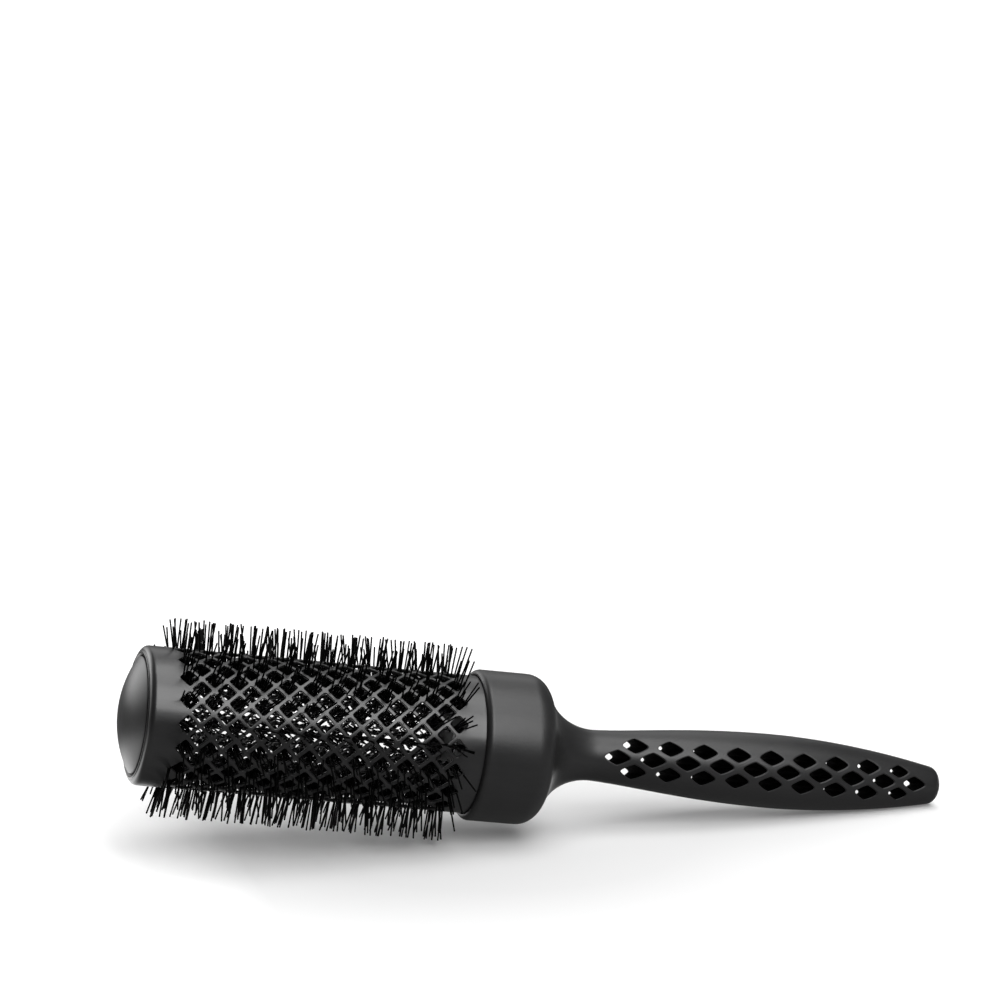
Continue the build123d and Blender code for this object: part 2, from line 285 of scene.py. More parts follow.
class SharedEffects:
    """Shader groups that more than one finish uses. They put out masks and heights only."""

    def __init__(self) -> None:
        """Build each group once."""
        self.grain = self._grain()
        self.handling = self._handling()

    @staticmethod
    def _start(name: str, inputs: dict[str, float],
               outputs: tuple[str, ...]) -> tuple[NodeSheet, list[Socket], Socket]:
        """Start a group with float sockets.

        Args:
            name: The group's name.
            inputs: Its inputs and their default values.
            outputs: Its outputs.

        Returns:
            The group's sheet, its inputs, and the place on the object.
        """
        group = bpy.data.node_groups.new(name, "ShaderNodeTree")
        for label, value in inputs.items():
            socket = group.interface.new_socket(label, in_out="INPUT", socket_type="NodeSocketFloat")
            socket.default_value = value
        for label in outputs:
            group.interface.new_socket(label, in_out="OUTPUT", socket_type="NodeSocketFloat")
        sheet = NodeSheet(group)
        given = sheet.add("NodeGroupInput").outputs
        return sheet, [given[label] for label in inputs], sheet.add("ShaderNodeTexCoord").outputs["Object"]

    def _grain(self) -> Tree:
        """Fine moulded or sprayed grain.

        Returns:
            A group with a height and a speckle mask.
        """
        coarser, coarse_height, speckle_range = 0.37, 0.35, (0.52, 0.70)
        sheet, (scale, roughen), place = self._start("fine_grain", {"Scale": 4000.0, "Roughen": 0.5},
                                                     ("Height", "Speckle"))
        noise = sheet.add("ShaderNodeTexNoise", Vector=place, Scale=scale, Detail=3.0, Roughness=roughen)
        fine = noise.outputs[0]
        coarse = sheet.add("ShaderNodeTexNoise", Vector=place, Scale=sheet.times(scale, coarser), Detail=1.0)
        sheet.add("NodeGroupOutput", Height=sheet.times_plus(coarse.outputs[0], coarse_height, fine),
                  Speckle=sheet.remap(fine, speckle_range, (0.0, 1.0)))
        return sheet.tree

    def _handling(self) -> Tree:
        """Soft uneven marks that fingers and spraying leave.

        Returns:
            A group with a cloud mask and a streak mask.
        """
        finer, cloud_range, streak_range = 14.0, (0.35, 0.65), (0.40, 0.62)
        sheet, (size, stretch), place = self._start("handling_marks", {"Size": 60.0, "Streak": 9.0},
                                                    ("Cloud", "Streaks"))
        cloud = sheet.add("ShaderNodeTexNoise", Vector=place, Scale=size, Detail=4.0)
        parts = sheet.parts(place)
        along = sheet.vector(sheet.math("DIVIDE", parts[0], stretch), parts[1], parts[2])
        streaks = sheet.add("ShaderNodeTexNoise", Vector=along, Scale=sheet.times(size, finer), Detail=2.0)
        sheet.add("NodeGroupOutput", Cloud=sheet.remap(cloud.outputs[0], cloud_range, (0.0, 1.0)),
                  Streaks=sheet.remap(streaks.outputs[0], streak_range, (0.0, 1.0)))
        return sheet.tree


@dataclass(frozen=True)
class Finish:
    """A surface finish: its colour, gloss and grain.

    Attributes:
        name: The material's name.
        dark: The grey of its darker patches.
        light: The grey of its lighter patches.
        tint: How much bluer than grey both are.
        roughness: How rough it is where it is smoothest, and where it is roughest.
        specular: The strength of its plain reflection.
        grain_scale: How fine the grain is.
        grain_height: The depth of the grain in microns.
        cloud_size: How small the soft patches are.
        metallic: 0 for plastic or coat, 1 for bare metal.
    """

    name: str
    dark: float
    light: float
    tint: float
    roughness: Pair
    specular: float
    grain_scale: float
    grain_height: float
    cloud_size: float
    metallic: float = 0.0

    def build(self, effects: SharedEffects) -> Material:
        """Make the material.

        Args:
            effects: The shared groups.

        Returns:
            The finished material.
        """
        material = bpy.data.materials.new(self.name)
        material.use_nodes = True
        material.node_tree.nodes.clear()
        sheet = NodeSheet(material.node_tree)
        marks = sheet.add("ShaderNodeGroup", {"node_tree": effects.handling}, Size=self.cloud_size).outputs
        grain = sheet.add("ShaderNodeGroup", {"node_tree": effects.grain}, Scale=self.grain_scale).outputs
        cloud, streak_share, speckle_share = marks["Cloud"], 0.35, 0.3
        share = sheet.times_plus(marks["Streaks"], streak_share, sheet.times(cloud, 1 - streak_share))
        uneven = sheet.times_plus(grain["Speckle"], speckle_share, sheet.times(cloud, 1 - speckle_share))
        colours = [(grey, grey, grey + self.tint, 1.0) for grey in (self.dark, self.light)]
        bump = sheet.add("ShaderNodeBump", Strength=1.0, Distance=self.grain_height * MICRON,
                         Height=grain["Height"])
        shader = sheet.add("ShaderNodeBsdfPrincipled", Base_Color=sheet.mix(share, *colours),
                           Roughness=sheet.remap(uneven, (0.0, 1.0), self.roughness), Normal=bump.outputs[0],
                           Metallic=self.metallic, Specular_IOR_Level=self.specular)
        sheet.add("ShaderNodeOutputMaterial", Surface=shader.outputs[0])
        return material


class Look(Enum):
    """Every finish on the brush."""

    SOFT_TOUCH = Finish("soft_touch_coat", 0.017, 0.022, 0.0005, (0.36, 0.44), 0.52, 5200.0, 12, 45.0)
    BARREL_COAT = Finish("barrel_ceramic_coat", 0.013, 0.017, 0.0005, (0.28, 0.36), 0.70, 7000.0, 8, 80.0)
    DOME_COAT = Finish("end_cap_soft_coat", 0.016, 0.020, 0.0005, (0.32, 0.40), 0.50, 5200.0, 10, 70.0)
    NYLON = Finish("black_nylon", 0.001, 0.002, 0.0, (0.45, 0.60), 0.06, 2600.0, 4, 240.0)
    WIRE = Finish("drawn_wire", 0.05, 0.10, 0.002, (0.30, 0.48), 0.5, 3000.0, 6, 300.0, metallic=1.0)
    INNER_PLASTIC = Finish("inner_plastic", 0.010, 0.016, 0.0, (0.50, 0.66), 0.4, 3600.0, 20, 90.0)
    # The tunnels' plastic, darkened far below the coat's grey and almost without reflection: painted shade
    # inside the grip's vents.
    VENT_PAINTED_SHADE = Finish("vent_tunnel_painted_shade", 0.0015, 0.0025, 0.0, (0.80, 0.90), 0.01, 3600.0, 6, 120.0)
    SCREW = Finish("screw_steel", 0.42, 0.55, 0.01, (0.26, 0.40), 0.5, 2400.0, 8, 200.0, metallic=1.0)


class BrushFinishes:
    """The brush's materials, built once and handed to the pieces by their looks."""

    def __init__(self) -> None:
        """Build the materials."""
        effects = SharedEffects()
        self.built = {look: look.value.build(effects) for look in Look}

    def __getitem__(self, look: Look) -> Material:
        """The material of a look."""
        return self.built[look]


class PieceMaker:
    """Small helpers that every sub-assembly shares."""

    @staticmethod
    def smooth(mesh: bpy.types.Mesh) -> None:
        """Shade a mesh smoothly."""
        mesh.polygons.foreach_set("use_smooth", [True] * len(mesh.polygons))

    @staticmethod
    def show(name: str, data: bpy.types.ID) -> bpy.types.Object:
        """Put a mesh, a lamp or a camera into the scene.

        Args:
            name: The object's name.
            data: What it shows.

        Returns:
            The new object, at the origin.
        """
        thing = bpy.data.objects.new(name, data)
        bpy.context.scene.collection.objects.link(thing)
        return thing

    @staticmethod
    def from_mesh(name: str, mesh: bpy.types.Mesh, *materials: Material) -> Piece:
        """Put a mesh into the scene as a smooth-shaded piece.

        Args:
            name: The piece's name.
            mesh: Its finished mesh, in metres.
            materials: Its finish, and a second one where its faces ask for it.

        Returns:
            The new object, at the origin.
        """
        for material in materials:
            mesh.materials.append(material)
        PieceMaker.smooth(mesh)
        return PieceMaker.show(name, mesh)

    @staticmethod
    def close_up(builder: bmesh.types.BMesh, name: str) -> bpy.types.Mesh:
        """Weld the seams, turn the faces outwards and make the mesh.

        Args:
            builder: The faces as drawn, in metres.
            name: The mesh's name.

        Returns:
            The closed mesh.
        """
        bmesh.ops.remove_doubles(builder, verts=builder.verts, dist=WELD)
        bmesh.ops.dissolve_degenerate(builder, edges=builder.edges, dist=WELD / 4)
        bmesh.ops.recalc_face_normals(builder, faces=builder.faces)
        mesh = bpy.data.meshes.new(name)
        builder.to_mesh(mesh)
        builder.free()
        return mesh

    @staticmethod
    def strips(builder: bmesh.types.BMesh, rings: list[list[Point]], layer: int = 0,
               closed: bool = True) -> None:
        """Join rows of points with quads.

        Args:
            builder: Where the faces go.
            rings: Rows of points in millimetres, each as long as the others.
            layer: Which of the piece's materials the faces take.
            closed: Whether each row's end joins its start.
        """
        rows = [[builder.verts.new((x * MM, y * MM, z * MM)) for x, y, z in ring] for ring in rings]
        size = len(rows[0])
        for near, camera_glow in zip(rows, rows[1:]):
            for index in range(size if closed else size - 1):
                after = (index + 1) % size
                face = builder.faces.new((near[index], near[after], camera_glow[after], camera_glow[index]))
                face.material_index = layer

    @staticmethod
    def lid(builder: bmesh.types.BMesh, ring: list[Point]) -> None:
        """Close a ring with triangles to its middle.

        Args:
            builder: Where the faces go.
            ring: The ring's points in millimetres.
        """
        points = [Vector(point) * MM for point in ring]
        middle = builder.verts.new(sum(points, Vector()) / len(points))
        corners = [builder.verts.new(point) for point in points]
        for index, corner in enumerate(corners):
            builder.faces.new((corner, corners[(index + 1) % len(corners)], middle))

    @staticmethod
    def closed_tube(rings: list[list[Point]], name: str) -> bpy.types.Mesh:
        """Skin a row of rings and close it at both ends.

        Args:
            rings: The rings in millimetres.
            name: The mesh's name.

        Returns:
            The closed mesh.
        """
        builder = bmesh.new()
        PieceMaker.strips(builder, rings)
        PieceMaker.lid(builder, rings[0])
        PieceMaker.lid(builder, rings[-1])
        return PieceMaker.close_up(builder, name)

    @staticmethod
    def arc(centre: Pair, radius: float, start: float, end: float, steps: int) -> list[Pair]:
        """Points on an arc in the half section, X along the brush and radius up.

        Args:
            centre: The arc's centre.
            radius: Its radius.
            start: Its first angle in degrees.
            end: Its last angle in degrees.
            steps: How many chords it has.

        Returns:
            The points, first and last included.
        """
        points = []
        for index in range(steps + 1):
            angle = math.radians(start + (end - start) * index / steps)
            points.append((centre[0] + radius * math.cos(angle), centre[1] + radius * math.sin(angle)))
        return points

    @staticmethod
    def round_axis(x: float, radius: float, turn: float) -> Point:
        """A point at a radius from the brush's axis, at an angle in radians from the top."""
        return (x, -radius * math.sin(turn), radius * math.cos(turn))

    @staticmethod
    def apply_tree(piece: Piece, tree: Tree, values: dict[str, object]) -> None:
        """Give a piece a node tree, set its inputs and turn the result into a plain mesh.

        Args:
            piece: The object that carries the tree.
            tree: The geometry nodes.
            values: The tree's inputs by their names.
        """
        modifier = piece.modifiers.new(tree.name, "NODES")
        modifier.node_group = tree
        for item in tree.interface.items_tree:
            if item.in_out == "INPUT" and item.name in values:
                modifier[item.identifier] = values[item.name]
        bpy.context.view_layer.update()
        graph = bpy.context.evaluated_depsgraph_get()
        mesh = bpy.data.meshes.new_from_object(piece.evaluated_get(graph))
        piece.modifiers.remove(modifier)
        piece.data = mesh
        PieceMaker.smooth(mesh)


@dataclass(frozen=True)
class RoundedDiamond:
    """A diamond hole with rounded corners, sampled so that it can be ringed by other outlines.

    Attributes:
        half_length: Half its length along X.
        half_height: Half its height.
        corner: The radius of its corners.
        bulge: How far the middle of each side stands out.
        corner_steps: Chords at each corner, an even number.
        side_steps: Chords along each side.
        corner_share: The share of a ringing side that half a corner takes.
    """

    half_length: float
    half_height: float
    corner: float
    bulge: float = 0.0
    corner_steps: int = 4
    side_steps: int = 2
    corner_share: float = 0.14

    def quarter(self) -> int:
        """The number of chords from one corner's middle to the next."""
        return self.corner_steps + self.side_steps

    def shares(self) -> list[float]:
        """Space a quarter's points along a ringing side.

        Returns:
            Their places on it, from 0 to 1.
        """
        half, corner = self.corner_steps // 2, self.corner_share
        middle = 1 - 2 * corner
        shares = [corner * index / half for index in range(half + 1)]
        shares += [corner + middle * index / self.side_steps for index in range(1, self.side_steps + 1)]
        shares += [1 - corner + corner * index / half for index in range(1, half + 1)]
        return shares

    @staticmethod
    def corners(half_length: float, half_height: float) -> list[tuple[Pair, Pair]]:
        """The sides of a plain diamond as pairs of corners, anticlockwise from the corner on +X."""
        corners = [(half_length, 0.0), (0.0, half_height), (-half_length, 0.0), (0.0, -half_height)]
        return list(zip(corners, corners[1:] + corners[:1]))

    def loop(self, grow: float) -> list[Pair]:
        """The hole's outline, grown outwards.

        Args:
            grow: How far outside the hole the loop lies.

        Returns:
            Points anticlockwise from the middle of the corner on +X.
        """
        slant = math.hypot(self.half_length, self.half_height)
        keep = 1 - self.corner * slant / (self.half_length * self.half_height)
        radius = self.corner + grow
        turn = math.degrees(math.atan2(self.half_length, self.half_height))
        half = self.corner_steps // 2
        normals = (turn, 180 - turn, 180 + turn, 360 - turn)
        sides = self.corners(self.half_length * keep, self.half_height * keep)
        points = []
        for quadrant, (near, camera_glow) in enumerate(sides):
            out, normal = 90.0 * quadrant, normals[quadrant]
            first = PieceMaker.arc(near, radius, out, normal, half)
            second = PieceMaker.arc(camera_glow, radius, normal, out + 90, half)
            across = (math.cos(math.radians(normal)), math.sin(math.radians(normal)))
            points += first[:-1]
            for step in range(self.side_steps):
                share = step / self.side_steps
                swell = self.bulge * (1 - (2 * share - 1) ** 2)
                x = first[-1][0] + (second[0][0] - first[-1][0]) * share + across[0] * swell
                y = first[-1][1] + (second[0][1] - first[-1][1]) * share + across[1] * swell
                points.append((x, y))
            points += second[:-1]
        return points

    def rhombus(self, half_length: float, half_height: float) -> list[Pair]:
        """The lattice cell round the hole.

        Args:
            half_length: Half the cell's length.
            half_height: Half the cell's height.

        Returns:
            As many points as the hole's loop has, from the corner on +X.
        """
        points = []
        for near, camera_glow in self.corners(half_length, half_height):
            for share in self.shares()[:-1]:
                points.append((near[0] + (camera_glow[0] - near[0]) * share, near[1] + (camera_glow[1] - near[1]) * share))
        return points


@dataclass(frozen=True)
class Lattice:
    """Where the barrel's first set of vents lies, in millimetres along X and in degrees from the top."""

    rows: int = 18
    columns: int = 12
    pitch: float = 7.7
    first_x: float = -102.8
    first_angle: float = 14.3

    def row_angle(self, row: int) -> float:
        """The angle of a row in degrees."""
        return self.first_angle + row * 360 / self.rows

    def last_x(self) -> float:
        """The place of the last column."""
        return self.first_x + (self.columns - 1) * self.pitch


@dataclass
class VentedBarrel:
    """The barrel: a coated tube whose wall is a lattice of diamond vents, with a rolled tip.

    Attributes are in millimetres, measured along X from the collar's middle.
    """

    lattice: Lattice = Lattice()
    radius: float = 21.5
    wall: float = 0.8
    tip_x: float = -115.0
    lip_x: float = -9.3
    end_x: float = 0.7
    bar: float = 1.1
    shoulder: float = 2.0
    bead: float = 0.33
    opening: float = 18.45
    tip_depth: float = 1.2
    inner_round: float = 1.0
    tip_margin: float = 0.9
    collar_margin: float = 0.6
    rim: float = 0.16
    corner: float = 0.6
    end_chamfer: float = 0.1

    def __post_init__(self) -> None:
        """Work out the lattice from the pitch and the bars."""
        pitch = self.lattice.pitch
        self.across = 2 * math.pi * self.radius / self.lattice.rows
        spacing = pitch * self.across / math.hypot(pitch, self.across)
        keep = (spacing - self.bar) / spacing
        self.vent = RoundedDiamond(pitch / 2 * keep, self.across / 2 * keep, self.corner)

    def vent_cell(self) -> bpy.types.Mesh:
        """One cell of the lattice laid flat: X along the brush, Y round it, Z out of it.

        Returns:
            The cell's mesh, with rounded rims on both faces of the wall.
        """
        cell = self.vent.rhombus(self.lattice.pitch / 2, self.across / 2)
        rim, wall = self.rim, self.wall
        layers = [(None, 0.0), (2.0 * rim, 0.0), (rim, 0.0), (0.3 * rim, -0.3 * rim),
                  (0.0, -rim), (0.0, rim - wall), (rim, -wall), (None, -wall)]
        rings = []
        for grow, height in layers:
            loop = cell if grow is None else self.vent.loop(grow)
            rings.append([(x, y, height) for x, y in loop])
        builder = bmesh.new()
        PieceMaker.strips(builder, rings)
        mesh = bpy.data.meshes.new("vent_cell")
        builder.to_mesh(mesh)
        builder.free()
        return mesh

    @staticmethod
    def lattice_tree() -> Tree:
        """Geometry nodes that set out both sets of vents flat and wrap them round the barrel.

        Returns:
            The tree, with the lattice's sizes as named inputs.
        """
        sheet = GeometrySheet("barrel_lattice", {
            "Geometry": ("Vent Cell",), "Float": ("Pitch", "Across", "Radius", "First Vent", "First Angle"),
            "Int": ("Columns", "Rows"), "Material": ("Finish",),
        })
        given = sheet.given
        # The second set has a column fewer and lies half a cell over, along the brush and round it.
        first_set, second_set = 0.0, 0.5
        sets = []
        for shift in (first_set, second_set):
            columns = sheet.minus(given["Columns"], 2.0 * shift)
            length = sheet.times(sheet.minus(columns, 1.0), given["Pitch"])
            height = sheet.times(sheet.minus(given["Rows"], 1.0), given["Across"])
            grid = sheet.add("GeometryNodeMeshGrid", Size_X=length, Size_Y=height, Vertices_X=columns,
                             Vertices_Y=given["Rows"])
            middle_x = sheet.times_plus(sheet.minus(given["Columns"], 1.0), sheet.times(given["Pitch"], 0.5),
                                        given["First Vent"])
            middle_y = sheet.times_plus(given["Across"], shift, sheet.times(height, 0.5))
            moved = sheet.transform(grid.outputs["Mesh"], Translation=sheet.vector(middle_x, middle_y))
            copies = sheet.add("GeometryNodeInstanceOnPoints", Points=moved, Instance=given["Vent Cell"])
            sets.append(copies.outputs[0])
        flat = sheet.add("GeometryNodeRealizeInstances", Geometry=sheet.join(*sets))
        parts = sheet.parts(sheet.add("GeometryNodeInputPosition").outputs[0])
        angle = sheet.plus(sheet.math("DIVIDE", parts[1], given["Radius"]), given["First Angle"])
        out = sheet.plus(parts[2], given["Radius"])
        side = sheet.times(sheet.math("SINE", angle), out, -1.0)
        up = sheet.times(sheet.math("COSINE", angle), out)
        rolled = sheet.add("GeometryNodeSetPosition", Geometry=flat.outputs[0],
                           Position=sheet.vector(parts[0], side, up))
        return sheet.hand_out_real(rolled.outputs[0])

    def edge_places(self) -> list[Pair]:
        """Where the lattice's edge points lie round the barrel.

        Returns:
            Pairs of an angle in radians and a share, 0 at a vent's outer corner and 1 between two vents.
        """
        step = 360 / self.lattice.rows
        shares = self.vent.shares()
        places = []
        for row in range(self.lattice.rows):
            middle = self.lattice.row_angle(row)
            places += [(middle - share * step / 2, share) for share in reversed(shares[1:])]
            places += [(middle + share * step / 2, share) for share in shares[:-1]]
        return [(math.radians(angle), share) for angle, share in places]

    def ring(self, x: float, radius: float, reach: float = 0.0) -> list[Point]:
        """A ring of points round the barrel, or the zigzag of vent corners that reach past it."""
        return [PieceMaker.round_axis(x + reach * (1 - share), radius, turn)
                for turn, share in self.edge_places()]

    def tip_profile(self) -> list[Pair]:
        """Draw the half section of the rolled tip.

        Returns:
            Points from the plain band over the shoulder and the bead, and back inside.
        """
        tip, outer, inner = self.tip_x, self.radius, self.radius - self.wall
        band_x = self.lattice.first_x - self.lattice.pitch / 2 - self.tip_margin
        shoulder_x, shoulder_r = tip + self.bead + self.shoulder, outer - self.shoulder
        bead_centre = (tip + self.bead, shoulder_r - self.bead)
        arc = PieceMaker.arc
        profile = [(band_x, outer), (tip + 6.0, outer), (tip + 4.0, outer), (shoulder_x + 0.5, outer)]
        profile += arc((shoulder_x, shoulder_r), self.shoulder, 90, 180, 9)
        profile += arc(bead_centre, self.bead, 90, 180, 4)[1:]
        profile += arc(bead_centre, self.bead, 180, 250, 3)[1:]
        profile += [(tip + 0.45, self.opening + 0.25), (tip + 0.55, self.opening), (tip + 1.1, self.opening),
                    (tip + self.tip_depth, self.opening + 0.3), (tip + self.tip_depth, shoulder_r - 0.2)]
        profile += arc((tip + 2.3, inner - self.inner_round), self.inner_round, 180, 90, 3)
        profile += [(band_x, inner)]
        return profile

    def collar_profile(self) -> list[Pair]:
        """Draw the half section of the end that the collar holds.

        Returns:
            Points from the last vents into the collar, and back inside.
        """
        start = self.lattice.last_x() + self.lattice.pitch / 2 + self.collar_margin
        outer, inner = self.radius, self.radius - self.wall
        end, cut = self.end_x, self.end_chamfer
        return [(start, outer), (start + 2, outer), (self.lip_x, outer), (end - cut, outer),
                (end, outer - cut), (end, inner + cut), (end - cut, inner), (self.lip_x, inner),
                (start, inner)]

    def build(self, finishes: BrushFinishes) -> Piece:
        """Make the barrel.

        Args:
            finishes: The brush's materials.

        Returns:
            The finished piece.
        """
        coat = finishes[Look.BARREL_COAT]
        # The lattice comes first, then the plain bands that share its edge points.
        flat = PieceMaker.from_mesh("barrel_shell", self.vent_cell(), coat)
        PieceMaker.apply_tree(flat, self.lattice_tree(), {
            "Pitch": self.lattice.pitch * MM, "Across": self.across * MM, "Radius": self.radius * MM,
            "First Vent": self.lattice.first_x * MM, "First Angle": math.radians(self.lattice.first_angle),
            "Columns": self.lattice.columns, "Rows": self.lattice.rows, "Finish": coat,
        })
        builder = bmesh.new()
        builder.from_mesh(flat.data)
        half = self.lattice.pitch / 2
        for last_x, reach, profile in ((self.lattice.first_x, -half, self.tip_profile()),
                                       (self.lattice.last_x(), half, self.collar_profile())):
            rings = [self.ring(last_x, self.radius, reach), *[self.ring(x, radius) for x, radius in profile],
                     self.ring(last_x, self.radius - self.wall, reach)]
            PieceMaker.strips(builder, rings)
        mesh = PieceMaker.close_up(builder, "barrel_shell")
        bpy.data.objects.remove(flat)
        piece = PieceMaker.from_mesh("barrel_shell", mesh, coat)
        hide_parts("barrel")
        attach(piece, BODY)
        return piece


@dataclass
class DomedCap:
    """The domed end cap with its skirt, in millimetres."""

    tip_x: float = -115.0
    radius: float = 18.05
    height: float = 5.0
    wall: float = 1.6
    edge: float = 0.5
    skirt: float = 4.2
    seam_depth: float = 1.2
    chamfer: float = 0.2
    around: int = 144
    outer_steps: int = 24
    inner_steps: int = 10

    def half_section(self) -> list[Pair]:
        """Draw the cap's half section.

        Returns:
            Points from the apex over the edge to the skirt, and back inside.
        """
        ball = (self.radius**2 + self.height**2) / (2 * self.height)
        centre = self.tip_x - self.height + ball
        inner_ball, inner = ball - self.wall, self.radius - self.wall
        slope = math.asin((self.radius - self.edge) / (ball - self.edge))
        last = math.asin(inner / inner_ball)
        skirt_x, cut = self.tip_x + self.skirt, self.chamfer

        def on_ball(radius: float, angle: float) -> Pair:
            """A point on the dome, or inside it."""
            return (centre - radius * math.cos(angle), radius * math.sin(angle))

        points = [on_ball(ball, slope * index / self.outer_steps) for index in range(1, self.outer_steps + 1)]
        edge_x = centre - (ball - self.edge) * math.cos(slope)
        start = 180 - math.degrees(slope)
        points += PieceMaker.arc((edge_x, self.radius - self.edge), self.edge, start, 90, 5)[1:]
        points += [(self.tip_x + self.seam_depth, self.radius), (skirt_x - cut, self.radius),
                   (skirt_x, self.radius - cut), (skirt_x, inner + cut), (skirt_x - cut, inner)]
        points += [on_ball(inner_ball, last * index / self.inner_steps)
                   for index in range(self.inner_steps, 0, -1)]
        return points

    def build(self, finishes: BrushFinishes) -> Piece:
        """Make the cap.

        Args:
            finishes: The brush's materials.

        Returns:
            The finished piece.
        """
        turns = [2 * math.pi * index / self.around for index in range(self.around)]
        rings = [[PieceMaker.round_axis(x, radius, turn) for turn in turns]
                 for x, radius in self.half_section()]
        mesh = PieceMaker.closed_tube(rings, "domed_cap")
        piece = PieceMaker.from_mesh("domed_cap", mesh, finishes[Look.DOME_COAT])
        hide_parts("tip_cap")
        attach(piece, BODY)
        return piece


@dataclass
class WireStrands:
    """The twisted-wire strands inside the barrel and the bristles that they pinch.

    Sizes are in millimetres and leans in degrees. The inner sizes are those of the bristles' short
    ends, which stay inside the barrel.
    """

    lattice: Lattice = Lattice()
    ring_radius: float = 15.4
    wire_start: float = -110.5
    wire_end: float = -11.75
    wire_thickness: float = 0.8
    twist_pitch: float = 4.6
    per_vent: int = 5
    inner_ends: int = 20
    bristle_length: float = 16.0
    bristle_thickness: float = 0.56
    thread_bend: float = 0.3
    thread_sides: int = 5
    reach: float = 30.88
    unevenness: float = 0.55
    root_radius: float = 14.6
    root_spread: float = 1.9
    root_width: float = 0.7
    fan: float = 4.0
    side_lean: float = 10.0
    end_fan: float = 3.5
    scatter: float = 7.5
    under_lean: float = -6.0
    inner_radius: float = 15.0
    inner_reach: float = 19.6
    inner_width: float = 1.4
    inner_fan: float = 8.0
    inner_lean: float = 15.0
    seed: int = 7
    seed_step: int = 100

    @staticmethod
    def wire_tree() -> Tree:
        """Geometry nodes for one strand: two wires twisted together and laid in the ring.

        Returns:
            The tree, with the strand's sizes as named inputs.
        """
        sheet = GeometrySheet("twisted_wire", {
            "Geometry": ("Geometry",), "Material": ("Finish",),
            "Float": ("Length", "Thickness", "Turns", "Start", "Ring Radius", "Row Angle"),
        })
        given = sheet.given
        half, per_turn, round_sides = sheet.times(given["Thickness"], 0.5), 9, 6
        spiral = sheet.add("GeometryNodeCurveSpiral", Resolution=per_turn, Rotations=given["Turns"],
                           Start_Radius=half, End_Radius=half, Height=given["Length"]).outputs[0]
        second = sheet.transform(spiral, Rotation=(0.0, 0.0, math.pi))
        section = sheet.add("GeometryNodeCurvePrimitiveCircle", Resolution=round_sides, Radius=half)
        wires = sheet.add("GeometryNodeCurveToMesh", Curve=sheet.join(spiral, second),
                          Profile_Curve=section.outputs[0], Fill_Caps=True)
        place = sheet.vector(given["Start"], z=given["Ring Radius"])
        laid = sheet.transform(wires.outputs[0], Translation=place, Rotation=(0.0, math.pi / 2, 0.0))
        return sheet.hand_out_real(sheet.transform(laid, Rotation=sheet.vector(given["Row Angle"])))

    def thread(self) -> bpy.types.Mesh:
        """One bristle along +Z: a thin thread with a slight bend and a blunt tip.

        Returns:
            Its mesh, in metres.
        """
        widths = {0.0: 1.0, 0.35: 1.0, 0.7: 1.0, 0.99: 0.97, 1.0: 0.8}
        turns = [2 * math.pi * corner / self.thread_sides for corner in range(self.thread_sides)]
        rings = []
        for share, width in widths.items():
            radius, bend = self.bristle_thickness / 2 * width, self.thread_bend * share**2
            rings.append([(bend + radius * math.cos(turn), radius * math.sin(turn),
                           self.bristle_length * share) for turn in turns])
        return PieceMaker.closed_tube(rings, "bristle_thread")

    @staticmethod
    def fan_tree() -> Tree:
        """Geometry nodes that set fans of threads along one row, a fan to each vent.

        Returns:
            The tree, with the fans' sizes and their seed as named inputs.
        """
        sheet = GeometrySheet("thread_fans", {
            "Geometry": ("Thread",),
            "Float": ("Pitch", "First Vent", "Root Radius", "Reach", "Thread Length", "Root Spread",
                      "Root Width", "Fan", "Side Lean", "End Fan", "Scatter", "Row Lean", "Unevenness"),
            "Int": ("Vents", "Per Vent", "Seed"),
        })
        given, plus, minus = sheet.given, sheet.plus, sheet.minus
        times, times_plus = sheet.times, sheet.times_plus
        per_vent, root_radius = given["Per Vent"], given["Root Radius"]
        root_shake, end_power, edge_calm = 0.22, 7.0, 0.55
        # Which vent each thread belongs to, and where it stands in its fan, from -1 to 1.
        line = sheet.add("GeometryNodeMeshLine", Count=times(given["Vents"], per_vent))
        index = sheet.add("GeometryNodeInputIndex").outputs[0]
        column = sheet.math("FLOOR", sheet.math("DIVIDE", plus(index, 0.5), per_vent))
        place = minus(index, times(column, per_vent))
        across = times_plus(sheet.math("DIVIDE", plus(place, 0.5), per_vent), 2.0, -1.0)
        shaken = plus(across, sheet.random(-root_shake, root_shake, Draw.ROOT_PLACE))
        along = times_plus(sheet.math("DIVIDE", column, minus(given["Vents"], 1.0)), 2.0, -1.0)
        pull = sheet.math("POWER", sheet.math("ABSOLUTE", along), end_power)
        end_pull = times(pull, sheet.math("SIGN", along))
        # The tilt along the brush is stronger at the row's ends, the lean to the side weaker at the fan's.
        tilt = plus(times(shaken, given["Fan"]), times(end_pull, given["End Fan"]))
        tilt = plus(tilt, times(sheet.random(-1.0, 1.0, Draw.TILT), given["Scatter"]))
        tilt = plus(tilt, given["Row Lean"])
        room = minus(1.0, times(sheet.math("ABSOLUTE", across), edge_calm))
        lean = times(sheet.random(-1.0, 1.0, Draw.LEAN), given["Side Lean"], room)
        slope_x, slope_y = sheet.math("TANGENT", tilt), sheet.math("TANGENT", lean)
        # The root lies in the line that the wire pinches, and each thread has its own spin.
        x = times_plus(shaken, given["Root Spread"], times_plus(column, given["Pitch"], given["First Vent"]))
        y = times(sheet.random(-1.0, 1.0, Draw.ROOT_SIDE), given["Root Width"])
        placed = sheet.add("GeometryNodeSetPosition", Geometry=line.outputs[0],
                           Position=sheet.vector(x, y, root_radius))
        spin = sheet.vector(z=sheet.random(0.0, 2 * math.pi, Draw.SPIN))
        rotation = sheet.add("FunctionNodeAlignRotationToVector", {"axis": "Z"}, Rotation=spin,
                             Vector=sheet.vector(slope_x, slope_y, 1.0))
        reach = minus(given["Reach"], times(sheet.random(0.0, 1.0, Draw.LENGTH), given["Unevenness"]))
